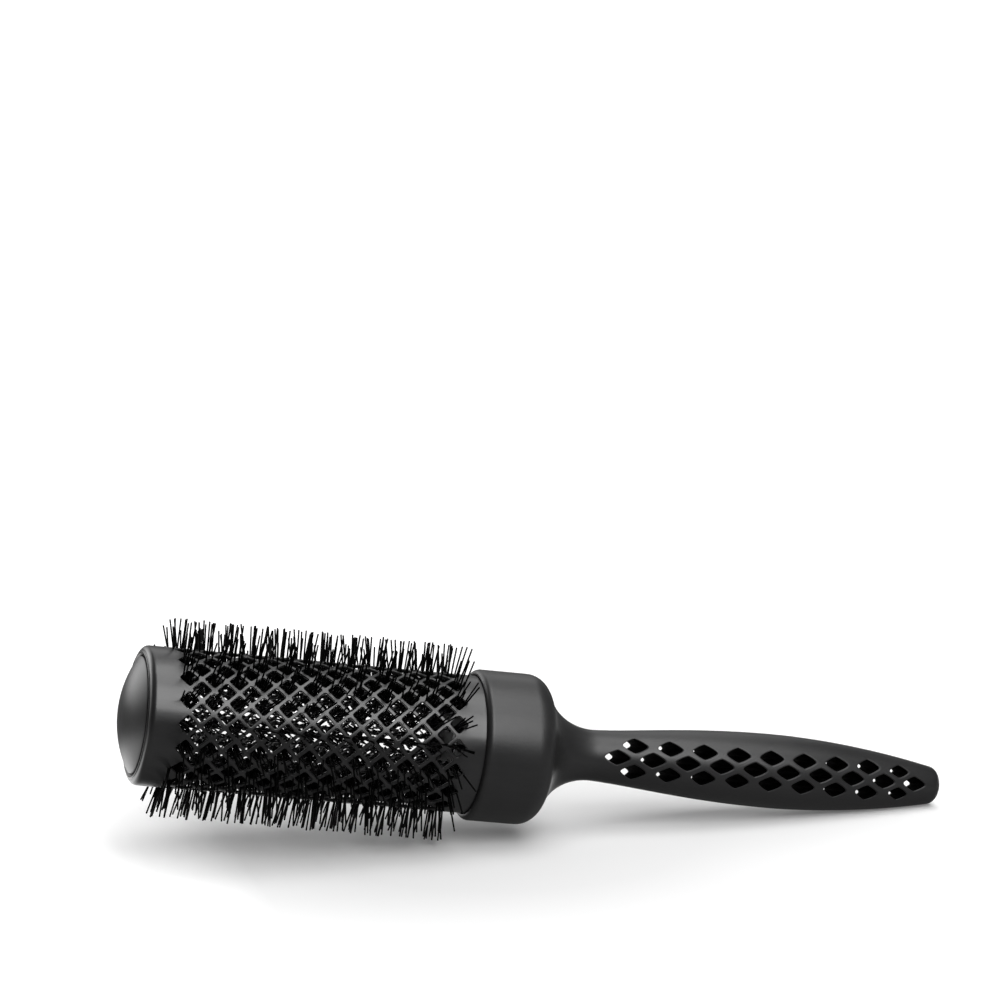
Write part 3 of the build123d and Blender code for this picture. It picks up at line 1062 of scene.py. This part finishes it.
        # The length that ends the thread on the cylinder of the tips, from its root along its slope.
        spread = times_plus(slope_y, slope_y, 1.0)
        ring = minus(times(reach, reach), times_plus(y, y, times(root_radius, root_radius)))
        base = times_plus(slope_y, y, root_radius)
        span = sheet.math("SQRT", times_plus(spread, ring, times(base, base)))
        run = sheet.math("DIVIDE", minus(span, base), spread)
        length = times(run, sheet.math("SQRT", times_plus(slope_x, slope_x, spread)))
        stretch = sheet.vector(1.0, 1.0, sheet.math("DIVIDE", length, given["Thread Length"]))
        copies = sheet.add("GeometryNodeInstanceOnPoints", Points=placed.outputs[0], Instance=given["Thread"],
                           Rotation=rotation.outputs[0], Scale=stretch)
        return sheet.hand_out(copies.outputs[0])

    @staticmethod
    def bristle_tree(fans: Tree) -> Tree:
        """Geometry nodes for one row: long bristles out through the vents, and the short ends left inside.

        Args:
            fans: The tree that sets out fans of threads.

        Returns:
            The tree, with the row's sizes and its seed as named inputs.
        """
        shared = ("Pitch", "First Vent", "Thread Length")
        outer = ("Root Radius", "Reach", "Root Spread", "Root Width", "Fan", "Side Lean", "End Fan",
                 "Scatter", "Row Lean", "Unevenness")
        inner = {"Root Radius": "Inner Radius", "Reach": "Inner Reach", "Root Width": "Inner Width",
                 "Fan": "Inner Fan", "Side Lean": "Inner Lean"}
        sheet = GeometrySheet("bristle_row", {
            "Geometry": ("Thread",), "Float": (*shared, *outer, *inner.values(), "Row Angle"),
            "Int": ("Vents", "Per Vent", "Inner Ends", "Seed"), "Material": ("Finish",),
        })
        given = sheet.given
        inner_seed, wider, looser = 50.0, 1.1, 2.0
        long, short = [sheet.add("GeometryNodeGroup", {"node_tree": fans}) for _ in range(2)]
        sheet.put_all(long, {label: given[label]
                             for label in ("Thread", *shared, *outer, "Vents", "Per Vent", "Seed")})
        sheet.put_all(short, {label: given[label] for label in ("Thread", *shared, "Vents")})
        sheet.put_all(short, {label: given[source] for label, source in inner.items()})
        sheet.put_all(short, {
            "Per Vent": given["Inner Ends"], "Seed": sheet.plus(given["Seed"], inner_seed),
            "Root Spread": sheet.times(given["Root Spread"], wider),
            "Scatter": sheet.times(given["Scatter"], looser),
        })
        both = sheet.join(long.outputs[0], short.outputs[0])
        return sheet.hand_out_real(sheet.transform(both, Rotation=sheet.vector(given["Row Angle"])))

    def wire_values(self) -> dict[str, float]:
        """Gather the sizes that every strand shares.

        Returns:
            The tree's inputs by their names, lengths in metres.
        """
        length = self.wire_end - self.wire_start
        return {"Length": length * MM, "Thickness": self.wire_thickness * MM,
                "Turns": length / self.twist_pitch, "Start": self.wire_start * MM,
                "Ring Radius": self.ring_radius * MM}

    def bristle_values(self) -> dict[str, float | int]:
        """Gather the sizes that every row shares.

        Returns:
            The tree's inputs by their names, in metres and radians.
        """
        lengths = {"Pitch": self.lattice.pitch, "First Vent": self.lattice.first_x,
                   "Root Radius": self.root_radius, "Reach": self.reach, "Thread Length": self.bristle_length,
                   "Root Spread": self.root_spread, "Root Width": self.root_width,
                   "Unevenness": self.unevenness, "Inner Radius": self.inner_radius,
                   "Inner Reach": self.inner_reach, "Inner Width": self.inner_width}
        angles = {"Fan": self.fan, "Side Lean": self.side_lean, "End Fan": self.end_fan,
                  "Scatter": self.scatter, "Inner Fan": self.inner_fan, "Inner Lean": self.inner_lean}
        counts = {"Vents": self.lattice.columns, "Per Vent": self.per_vent, "Inner Ends": self.inner_ends}
        return {**{label: value * MM for label, value in lengths.items()},
                **{label: math.radians(value) for label, value in angles.items()}, **counts}

    def build(self, finishes: BrushFinishes) -> tuple[list[Piece], list[Piece]]:
        """Make every strand and its bristles.

        Args:
            finishes: The brush's materials.

        Returns:
            The finished strands, and the finished rows of bristles, one of each to a row of vents.
        """
        steel, nylon = finishes[Look.WIRE], finishes[Look.NYLON]
        wire_tree, bristle_tree = self.wire_tree(), self.bristle_tree(self.fan_tree())
        wires, rows = [], []
        for row in range(self.lattice.rows):
            angle = math.radians(self.lattice.row_angle(row))
            label = f"{row + 1:02d}"
            wire = PieceMaker.from_mesh(f"twisted_wire_{label}", bpy.data.meshes.new("strand"), steel)
            PieceMaker.apply_tree(wire, wire_tree, {
                **self.wire_values(), "Row Angle": angle, "Finish": steel,
            })
            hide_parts(f"strand_wire_{label}")
            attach(wire, BODY)
            bristles = PieceMaker.from_mesh(f"bristles_{label}", self.thread(), nylon)
            PieceMaker.apply_tree(bristles, bristle_tree, {
                **self.bristle_values(), "Row Angle": angle, "Seed": self.seed + self.seed_step * row,
                "Row Lean": math.radians(self.under_lean) * max(0.0, -math.cos(angle)), "Finish": nylon,
            })
            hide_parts(f"bristle_row_{label}")
            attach(bristles, BODY)
            wires.append(wire)
            rows.append(bristles)
        return wires, rows


@dataclass
class VentedHandle:
    """Collar, neck and grip in one moulding, with three staggered rows of vents, in millimetres."""

    collar_radius: float = 23.6
    collar_half: float = 7.5
    lip_x: float = -9.3
    cup_radius: float = 21.75
    cup_floor: float = 0.75
    shoulder: float = 7.0
    hollow: float = 18.0
    neck_radius: float = 8.0
    grip_end: float = 147.1
    belly_x: float = 90.7
    belly_height: float = 11.75
    butt_height: float = 5.5
    height_powers: Pair = (0.72, 1.9)
    belly_depth_x: float = 75.7
    belly_depth: float = 12.9
    butt_depth: float = 5.8
    depth_powers: Pair = (0.6, 2.2)
    butt_round: float = 2.8
    vent_first: float = 37.1
    vent_pitch: float = 11.1
    vent_count: int = 10
    vent_half_length: float = 4.44
    vent_half_height: float = 2.35
    vent_corner: float = 0.5
    vent_bulge: float = 0.14
    row_gap: float = 4.05
    last_shrink: float = 0.86
    last_corner: float = 0.46
    last_bulge: float = 0.12
    rim: float = 0.34
    rim_layers: tuple[Pair, ...] = ((1.6, 0.0), (1.0, 0.0), (0.55, 0.1), (0.2, 0.42), (0.0, 1.0), (0.0, 2.0))
    side_steps: int = 16
    neck_steps: int = 4
    butt_steps: int = 3
    butt_round_steps: int = 8
    face_limit: float = 7.4
    face_share: float = 0.86
    level_limit: float = 0.9999
    waist: float = 0.93

    def __post_init__(self) -> None:
        """Work out the neck and the vents' outlines."""
        drop = self.collar_radius - self.neck_radius
        self.turn = math.acos(1 - drop / (self.shoulder + self.hollow))
        self.neck_x = self.collar_half + (self.shoulder + self.hollow) * math.sin(self.turn)
        length, height, small = self.vent_half_length, self.vent_half_height, self.last_shrink
        chords = {"corner_steps": 4, "side_steps": 6, "corner_share": 0.16}
        self.vent = RoundedDiamond(length, height, self.vent_corner, self.vent_bulge, **chords)
        self.last_vent = RoundedDiamond(length * small, height * small, self.last_corner,
                                        self.last_bulge, **chords)
        self.end_vent_x = self.vent_first + (self.vent_count - 1) * self.vent_pitch

    @staticmethod
    def swell(x: float, span: Point, sizes: Point, powers: Pair) -> float:
        """A half size along the grip, as the solid has it.

        Args:
            x: The place along the brush.
            span: Where the grip starts, is largest and ends.
            sizes: The half sizes there.
            powers: How softly it swells and how late it tapers.

        Returns:
            The half size.
        """
        start, peak, end = span
        if x <= peak:
            share = (max(x - start, 0.0) / (peak - start)) ** powers[0]
            return sizes[0] + (sizes[1] - sizes[0]) * (1 - math.cos(math.pi * share)) / 2
        return sizes[1] - (sizes[1] - sizes[2]) * ((x - peak) / (end - peak)) ** powers[1]

    def half_height(self, x: float) -> float:
        """Half the grip's height at a place along it."""
        return self.swell(x, (self.neck_x, self.belly_x, self.grip_end),
                          (self.neck_radius, self.belly_height, self.butt_height), self.height_powers)

    def half_depth(self, x: float) -> float:
        """Half the grip's depth at a place along it."""
        return self.swell(x, (self.neck_x, self.belly_depth_x, self.grip_end),
                          (self.neck_radius, self.belly_depth, self.butt_depth), self.depth_powers)

    def face_edge(self, x: float) -> float:
        """How high the vented face reaches before the side of the grip begins."""
        return min(self.face_limit, self.face_share * self.half_height(x))

    def on_face(self, x: float, z: float, side: int, depth: float = 0.0) -> Point:
        """A point on or under the grip's front (side -1) or back (side 1), at a place and a height."""
        level = min(abs(z) / self.half_height(x), self.level_limit)
        return (x, side * (self.half_depth(x) * math.sqrt(1 - level**2) - depth), z)

    def on_section(self, x: float, angle: float, inset: float = 0.0) -> Point:
        """A point on the grip's oval section, or inside it, at an angle from the front's middle."""
        high, deep = self.half_height(x) - inset, self.half_depth(x) - inset
        return (x, -deep * math.cos(angle), high * math.sin(angle))

    def vents(self) -> list[tuple[float, int, bool]]:
        """List every vent.

        Returns:
            Each vent's place along the grip, its row (-1, 0 or 1) and whether it is of the last pair.
        """
        places = [(self.vent_first + index * self.vent_pitch, 0, False) for index in range(self.vent_count)]
        for index in range(self.vent_count - 1):
            x = self.vent_first + (index + 0.5) * self.vent_pitch
            places += [(x, row, index == self.vent_count - 2) for row in (-1, 1)]
        return places

    def cell_outline(self, x: float, row: int) -> list[Pair]:
        """The edge of a vent's share of the face, as many points as the vent's loop has.

        Args:
            x: The vent's place.
            row: Its row.

        Returns:
            Points from the corner on +X, anticlockwise.
        """
        half = self.vent_pitch / 2
        middle = row * self.row_gap
        rhombus = [(x + a, middle + b) for a, b in self.vent.rhombus(half, self.row_gap)]
        if row == 0:
            return rhombus
        quarter = self.vent.quarter()
        # An outer row's cell goes straight up to the face's edge, along it and down again.
        upright = quarter // 2
        flat = 2 * quarter - 2 * upright

        def rise(place: float, share: float) -> Pair:
            """A point between the vent's corner and the face's edge above it."""
            return (place, self.row_gap + (self.face_edge(place) - self.row_gap) * share)

        outer = [rise(x + half, step / upright) for step in range(upright)]
        for step in range(flat):
            place = x + half - 2 * half * step / flat
            outer.append((place, self.face_edge(place)))
        outer += [rise(x - half, 1 - step / upright) for step in range(upright)]
        if row > 0:
            return outer + rhombus[2 * quarter:]
        mirrored = [(a, -b) for a, b in outer]
        return rhombus[:2 * quarter] + [(x - half, middle)] + mirrored[:0:-1]

    def add_vent(self, builder: bmesh.types.BMesh, x: float, row: int, last: bool) -> None:
        """Draw one vent: its rims front and back and the tunnel between them.

        Args:
            builder: Where the faces go.
            x: The vent's place.
            row: Its row.
            last: Whether it is of the smaller last pair.
        """
        vent = self.last_vent if last else self.vent
        lift = row * self.row_gap * (self.last_shrink if last else 1.0)
        cell = self.cell_outline(x, row)
        layers = [(grow * self.rim, depth * self.rim) for grow, depth in self.rim_layers]
        outer, deepest = layers[0][0], layers[-1][1]
        for side in (-1, 1):
            rings = [[self.on_face(a, b, side) for a, b in cell]]
            rings.append([self.on_face((a + x + c) / 2, (b + lift + d) / 2, side)
                          for (a, b), (c, d) in zip(cell, vent.loop(outer))])
            for grow, depth in layers:
                rings.append([self.on_face(x + a, lift + b, side, depth) for a, b in vent.loop(grow)])
            PieceMaker.strips(builder, rings)
        front, back = [[self.on_face(x + a, lift + b, side, deepest) for a, b in vent.loop(0.0)]
                       for side in (-1, 1)]
        middle = [(x + (a - x) * self.waist, 0.0, lift + (b - lift) * self.waist) for a, _, b in front]
        # The tunnel takes the second finish, a painted shade that keeps the vent near black inside.
        PieceMaker.strips(builder, [front, middle, back], layer=1)

    def end_edge(self, side: int) -> list[Pair]:
        """The end of the vented face, from its top to its bottom.

        Args:
            side: -1 at the neck, 1 at the butt.

        Returns:
            Points as places along the brush and angles round the section.
        """
        last_middle = self.vent_first if side < 0 else self.end_vent_x
        upright = self.vent.quarter() // 2
        edge, gap = self.face_edge(last_middle), self.row_gap
        reach = side * self.vent_pitch / 2
        shares = self.vent.shares()[:-1]
        points = [(last_middle, edge + (gap - edge) * step / upright) for step in range(upright)]
        points += [(last_middle + reach * share, gap * (1 - share)) for share in shares]
        points += [(last_middle + reach * (1 - share), -gap * share) for share in shares]
        points += [(last_middle, -(gap + (edge - gap) * step / upright)) for step in range(upright + 1)]
        return [(x, math.asin(max(-1.0, min(1.0, z / self.half_height(x))))) for x, z in points]

    def around(self, side: int) -> list[Pair]:
        """The full ring at an end of the vented face: front, underside, back and top.

        Args:
            side: -1 at the neck, 1 at the butt.

        Returns:
            Points as places along the brush and angles round the section.
        """
        front = self.end_edge(side)
        corner_x, corner = front[0]
        back = [(x, math.pi - angle) for x, angle in reversed(front)]
        steps = self.side_steps
        under = [(corner_x, -corner - (math.pi - 2 * corner) * step / steps) for step in range(1, steps)]
        top = [(corner_x, corner + (math.pi - 2 * corner) * (1 - step / steps)) for step in range(1, steps)]
        return front + under + back + top

    def add_sides(self, builder: bmesh.types.BMesh) -> None:
        """Draw the top and the underside between the two vented faces.

        Args:
            builder: Where the faces go.
        """
        quarter = self.vent.quarter()
        flat = 2 * quarter - 2 * (quarter // 2)
        count = (self.vent_count - 1) * flat
        places = [self.vent_first + (self.vent_count - 1) * self.vent_pitch * index / count
                  for index in range(count + 1)]
        corners = [math.asin(self.face_edge(x) / self.half_height(x)) for x in places]
        for sign in (-1, 1):
            rings = [[self.on_section(x, sign * (corner + (math.pi - 2 * corner) * step / self.side_steps))
                      for x, corner in zip(places, corners)] for step in range(self.side_steps + 1)]
            PieceMaker.strips(builder, rings, closed=False)

    def add_ends(self, builder: bmesh.types.BMesh) -> None:
        """Draw the neck and collar with the cup, and the butt.

        Args:
            builder: Where the faces go.
        """
        edge = self.around(-1)
        rings = [[self.on_section(x + (self.neck_x - x) * (step / self.neck_steps), angle)
                  for x, angle in edge] for step in range(self.neck_steps + 1)]
        rings += [[(x, -radius * math.cos(angle), radius * math.sin(angle)) for _, angle in edge]
                  for x, radius in self.collar_profile()]
        PieceMaker.strips(builder, rings)
        PieceMaker.lid(builder, rings[-1])
        edge = self.around(1)
        start = self.grip_end - self.butt_round
        rings = [[self.on_section(x + (start - x) * (step / self.butt_steps), angle) for x, angle in edge]
                 for step in range(self.butt_steps + 1)]
        for step in range(1, self.butt_round_steps + 1):
            turn = math.pi / 2 * step / self.butt_round_steps
            x = start + self.butt_round * math.sin(turn)
            inset = self.butt_round * (1 - math.cos(turn))
            rings.append([self.on_section(x, angle, inset) for _, angle in edge])
        PieceMaker.strips(builder, rings)
        PieceMaker.lid(builder, rings[-1])

    def collar_profile(self) -> list[Pair]:
        """Draw the half section of the collar.

        Returns:
            Points from the neck over the shoulder and the lip, down into the cup.
        """
        meet = math.degrees(self.turn)
        arc, outer, cup = PieceMaker.arc, self.collar_radius, self.cup_radius
        lip = outer - cup
        lip_end = self.lip_x + lip
        profile = arc((self.neck_x, self.neck_radius + self.hollow), self.hollow, 270, 270 - meet, 16)[1:]
        profile += arc((self.collar_half, outer - self.shoulder), self.shoulder, 90 - meet, 90, 14)[1:]
        profile += [(self.collar_half - 0.6, outer), (0.0, outer), (lip_end + 0.5, outer)]
        profile += arc((lip_end, outer - lip), lip, 90, 172, 8)
        profile += [(self.lip_x + 0.12, cup), (self.lip_x + 0.6, cup - 0.02),
                    (self.cup_floor - 0.2, cup - 0.02), (self.cup_floor, cup - 0.2)]
        return profile

    def build(self, finishes: BrushFinishes) -> Piece:
        """Make the handle.

        Args:
            finishes: The brush's materials.

        Returns:
            The finished piece.
        """
        builder = bmesh.new()
        for x, row, last in self.vents():
            self.add_vent(builder, x, row, last)
        self.add_sides(builder)
        self.add_ends(builder)
        mesh = PieceMaker.close_up(builder, "handle_moulding")
        # The second finish paints the shade inside the vent tunnels.
        piece = PieceMaker.from_mesh("handle_moulding", mesh, finishes[Look.SOFT_TOUCH],
                                     finishes[Look.VENT_PAINTED_SHADE])
        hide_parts("handle")
        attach(piece, BODY)
        return piece


@dataclass(frozen=True)
class InnerPieces:
    """The frame's own nodes: those inside the barrel keep their solids, and every one gets its finish."""

    looks: tuple[tuple[str, Look], ...] = (
        ("tip_holder", Look.INNER_PLASTIC), ("hub", Look.INNER_PLASTIC), ("hub_screw", Look.SCREW),
        ("barrel", Look.BARREL_COAT), ("tip_cap", Look.DOME_COAT), ("handle", Look.SOFT_TOUCH),
        ("strand_wire", Look.WIRE), ("bristle_row", Look.NYLON),
    )

    def dress(self, finishes: BrushFinishes) -> None:
        """Give each node its material, by its own name or by its family's.

        Args:
            finishes: The brush's materials.
        """
        looks = dict(self.looks)
        for name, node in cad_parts.items():
            family = name if name in looks else name.rsplit("_", 1)[0]
            node.data.materials.clear()
            node.data.materials.append(finishes[looks[family]])


@dataclass
class Studio:
    """The floor the brush rests on, the lamps and the camera of the picture, in metres and degrees."""

    camera_place: Point = (-0.3733, -1.3253, 0.0)
    forward: Point = (0.26673, 0.96214, 0.05585)
    upward: Point = (-0.10036, -0.02991, 0.99449)
    lens: float = 158.4
    sensor: float = 36.0
    clip: Pair = (0.05, 60.0)
    pitch_range: Pair = (4.0, 30.0)
    pitch_steps: int = 40
    floor_half: float = 12.0
    target: Point = (0.015, 0.0, 0.0)
    strip_side: float = 0.08
    strip_radius: float = 1.25
    strip_panel: Pair = (0.95, 0.75)
    panels: tuple[tuple[Role, float, float], ...] = (
        (Role.FRONT, 31.5, 12.0), (Role.TOP, 76.0, 8.4), (Role.BACK, 122.0, 2.0),
    )

    def axes(self) -> tuple[Vector, Vector, Vector]:
        """Work out how the camera is turned.

        Returns:
            Its right, up and forward directions.
        """
        ahead = Vector(self.forward).normalized()
        right = ahead.cross(Vector(self.upward)).normalized()
        return right, right.cross(ahead), ahead

    def camera(self) -> None:
        """Place the camera at the photograph's viewing angle."""
        data = bpy.data.cameras.new("picture_camera")
        data.lens = self.lens
        data.sensor_width = self.sensor
        data.clip_start, data.clip_end = self.clip
        camera = PieceMaker.show("picture_camera", data)
        right, above, ahead = self.axes()
        turn = Matrix((right, above, -ahead)).transposed().to_4x4()
        camera.matrix_world = Matrix.Translation(Vector(self.camera_place)) @ turn
        bpy.context.scene.camera = camera

    def resting_plane(self, bristles: list[Piece], handle: Piece) -> tuple[Vector, float]:
        """Find the level floor that the bristles and the grip both touch, with the camera upright.

        Args:
            bristles: The rows of bristles.
            handle: The handle.

        Returns:
            The floor's normal, and its distance along the normal.
        """
        def points(piece: Piece) -> np.ndarray:
            """Read a piece's vertices.

            Args:
                piece: The piece.

            Returns:
                A row for each vertex.
            """
            co = np.zeros(len(piece.data.vertices) * 3)
            piece.data.vertices.foreach_get("co", co)
            return co.reshape(-1, 3)

        brush = np.vstack([points(piece) for piece in bristles])
        grip = points(handle)
        _, above, ahead = self.axes()
        # Halve the range of pitches until the floor meets the bristles and the grip at one level.
        low, high = [math.radians(pitch) for pitch in self.pitch_range]
        normal, middle = above, low
        for _ in range(self.pitch_steps):
            middle = (low + high) / 2
            normal = above * math.cos(middle) - ahead * math.sin(middle)
            vector = np.array(normal)
            if (brush @ vector).min() < (grip @ vector).min():
                low = middle
            else:
                high = middle
        level = float((brush @ np.array(normal)).min())
        LOG.info("floor normal %s level %.5f camera pitch %.2f", tuple(normal), level, math.degrees(middle))
        return normal, level

    @staticmethod
    def paper() -> Material:
        """Paper that takes the brush's shadow and looks white to the camera.

        To the camera it glows more with the distance from the brush, and more towards the tip's end, a
        painted light that makes the shadow there paler. To the brush it glows in a band behind it, and
        faintly in front of it.

        Returns:
            The material.
        """
        material = bpy.data.materials.new("white_paper")
        material.use_nodes = True
        material.node_tree.nodes.clear()
        sheet = NodeSheet(material.node_tree)
        seen = sheet.add("ShaderNodeLightPath").outputs[CAMERA_RAY]
        place = sheet.add("ShaderNodeTexCoord").outputs["Object"]
        spot = sheet.parts(place)
        away = sheet.add("ShaderNodeVectorMath", {"operation": "LENGTH"})
        sheet.put(away.inputs[0], place)
        # Painted light: the glow seen by the camera grows away from the brush and towards the tip's end,
        # which pales the shadow there.
        camera_glow = sheet.plus(sheet.remap(away.outputs["Value"], (0.07, 0.5), (0.01, 1.0)),
                         sheet.remap(spot[0], (-0.078, -0.115), (0.0, 0.40)))
        behind = sheet.ramps((spot[1], (0.015, 0.055), (0.0, 2.1)), (spot[1], (0.075, 0.135), (1.0, 0.0)))
        front = sheet.ramps((spot[1], (0.02, -0.02), (0.0, 0.18)), (spot[1], (-0.05, -0.14), (1.0, 0.25)))
        glow = sheet.plus(behind, front)
        to_brush, to_camera = (0.12, 0.12, 0.12, 1.0), (0.84, 0.84, 0.84, 1.0)
        colour = sheet.mix(seen, to_brush, to_camera)
        lift = sheet.add("ShaderNodeEmission", Color=WHITE,
                         Strength=sheet.times_plus(seen, sheet.minus(camera_glow, glow), glow))
        matt = sheet.add("ShaderNodeBsdfDiffuse", Color=colour)
        both = sheet.add("ShaderNodeAddShader")
        sheet.put_all(both, {0: matt.outputs[0], 1: lift.outputs[0]})
        sheet.add("ShaderNodeOutputMaterial", Surface=both.outputs[0])
        return material

    def floor(self, normal: Vector, level: float) -> None:
        """Lay a wide paper floor under the brush.

        Args:
            normal: The floor's normal.
            level: Its distance from the origin along the normal.
        """
        side = Vector((1.0, 0.0, 0.0)) - normal * normal.x
        side.normalize()
        deep = normal.cross(side)
        centre, size = normal * level, self.floor_half
        corners = [centre + side * a * size + deep * b * size
                   for a, b in ((-1, -1), (1, -1), (1, 1), (-1, 1))]
        mesh = bpy.data.meshes.new("paper_floor")
        mesh.from_pydata([tuple(corner) for corner in corners], [], [(0, 1, 2, 3)])
        mesh.materials.append(self.paper())
        floor = PieceMaker.show("paper_floor", mesh)

    @staticmethod
    def air() -> None:
        """Show the air white to the camera, and light the brush from a soft wall behind and at its left."""
        world = bpy.data.worlds.new("studio_air")
        bpy.context.scene.world = world
        world.use_nodes = True
        world.node_tree.nodes.clear()
        sheet = NodeSheet(world.node_tree)
        seen = sheet.add("ShaderNodeLightPath").outputs[CAMERA_RAY]
        way = sheet.parts(sheet.add("ShaderNodeTexCoord").outputs["Generated"])
        haze = 0.04
        wall = sheet.ramps((way[1], (0.45, 0.85), (0.0, 1.0)), (way[2], (0.04, 0.20), (0.0, 1.8)))
        wall = sheet.times_plus(wall, sheet.remap(way[0], (0.0, -0.4), (0.1, 1.0)), haze)
        left = sheet.ramps((way[0], (-0.3, -0.6), (0.0, 2.6)), (way[1], (0.20, 0.60), (0.0, 1.0)),
                           (way[2], (0.0, 0.25), (0.0, 1.0)), (way[2], (0.90, 0.60), (0.0, 1.0)))
        light = sheet.add("ShaderNodeBackground", Color=WHITE,
                          Strength=sheet.math("MAXIMUM", seen, sheet.plus(wall, left)))
        sheet.add("ShaderNodeOutputWorld", Surface=light.outputs[0])

    def lamp(self, role: Role, turn: float, power: float) -> None:
        """Hang one panel of the soft strip that arches over the brush from front to back, aimed at it.

        Args:
            role: Which panel it is.
            turn: Its place on the arch, in degrees up from the front.
            power: Its power in watts.
        """
        lift = math.radians(turn)
        across = math.sqrt(1 - self.strip_side**2)
        toward = Vector((self.strip_side, -across * math.cos(lift), across * math.sin(lift)))
        target = Vector(self.target)
        data = bpy.data.lights.new(f"{role.value}_panel", "AREA")
        data.shape = "RECTANGLE"
        data.size, data.size_y = self.strip_panel
        data.energy = power
        lamp = PieceMaker.show(f"{role.value}_panel", data)
        lamp.location = target + toward * self.strip_radius
        lamp.rotation_euler = (target - lamp.location).to_track_quat("-Z", "X").to_euler()

    def build(self, bristles: list[Piece], handle: Piece) -> None:
        """Set up the whole studio.

        Args:
            bristles: The rows of bristles.
            handle: The handle.
        """
        self.camera()
        self.floor(*self.resting_plane(bristles, handle))
        self.air()
        for role, turn, power in self.panels:
            self.lamp(role, turn, power)
        bpy.context.scene.view_settings.view_transform = "Standard"


def main() -> None:
    """Build the brush and its studio."""
    logging.basicConfig(level=logging.INFO, format="%(message)s")
    finishes = BrushFinishes()
    InnerPieces().dress(finishes)
    barrel = VentedBarrel().build(finishes)
    cap = DomedCap().build(finishes)
    wires, bristles = WireStrands().build(finishes)
    handle = VentedHandle().build(finishes)
    for piece in (barrel, cap, handle, *wires, *bristles):
        LOG.info("%s: %d faces", piece.name, len(piece.data.polygons))
    Studio().build(bristles, handle)


if __name__ == "__main__":
    main()
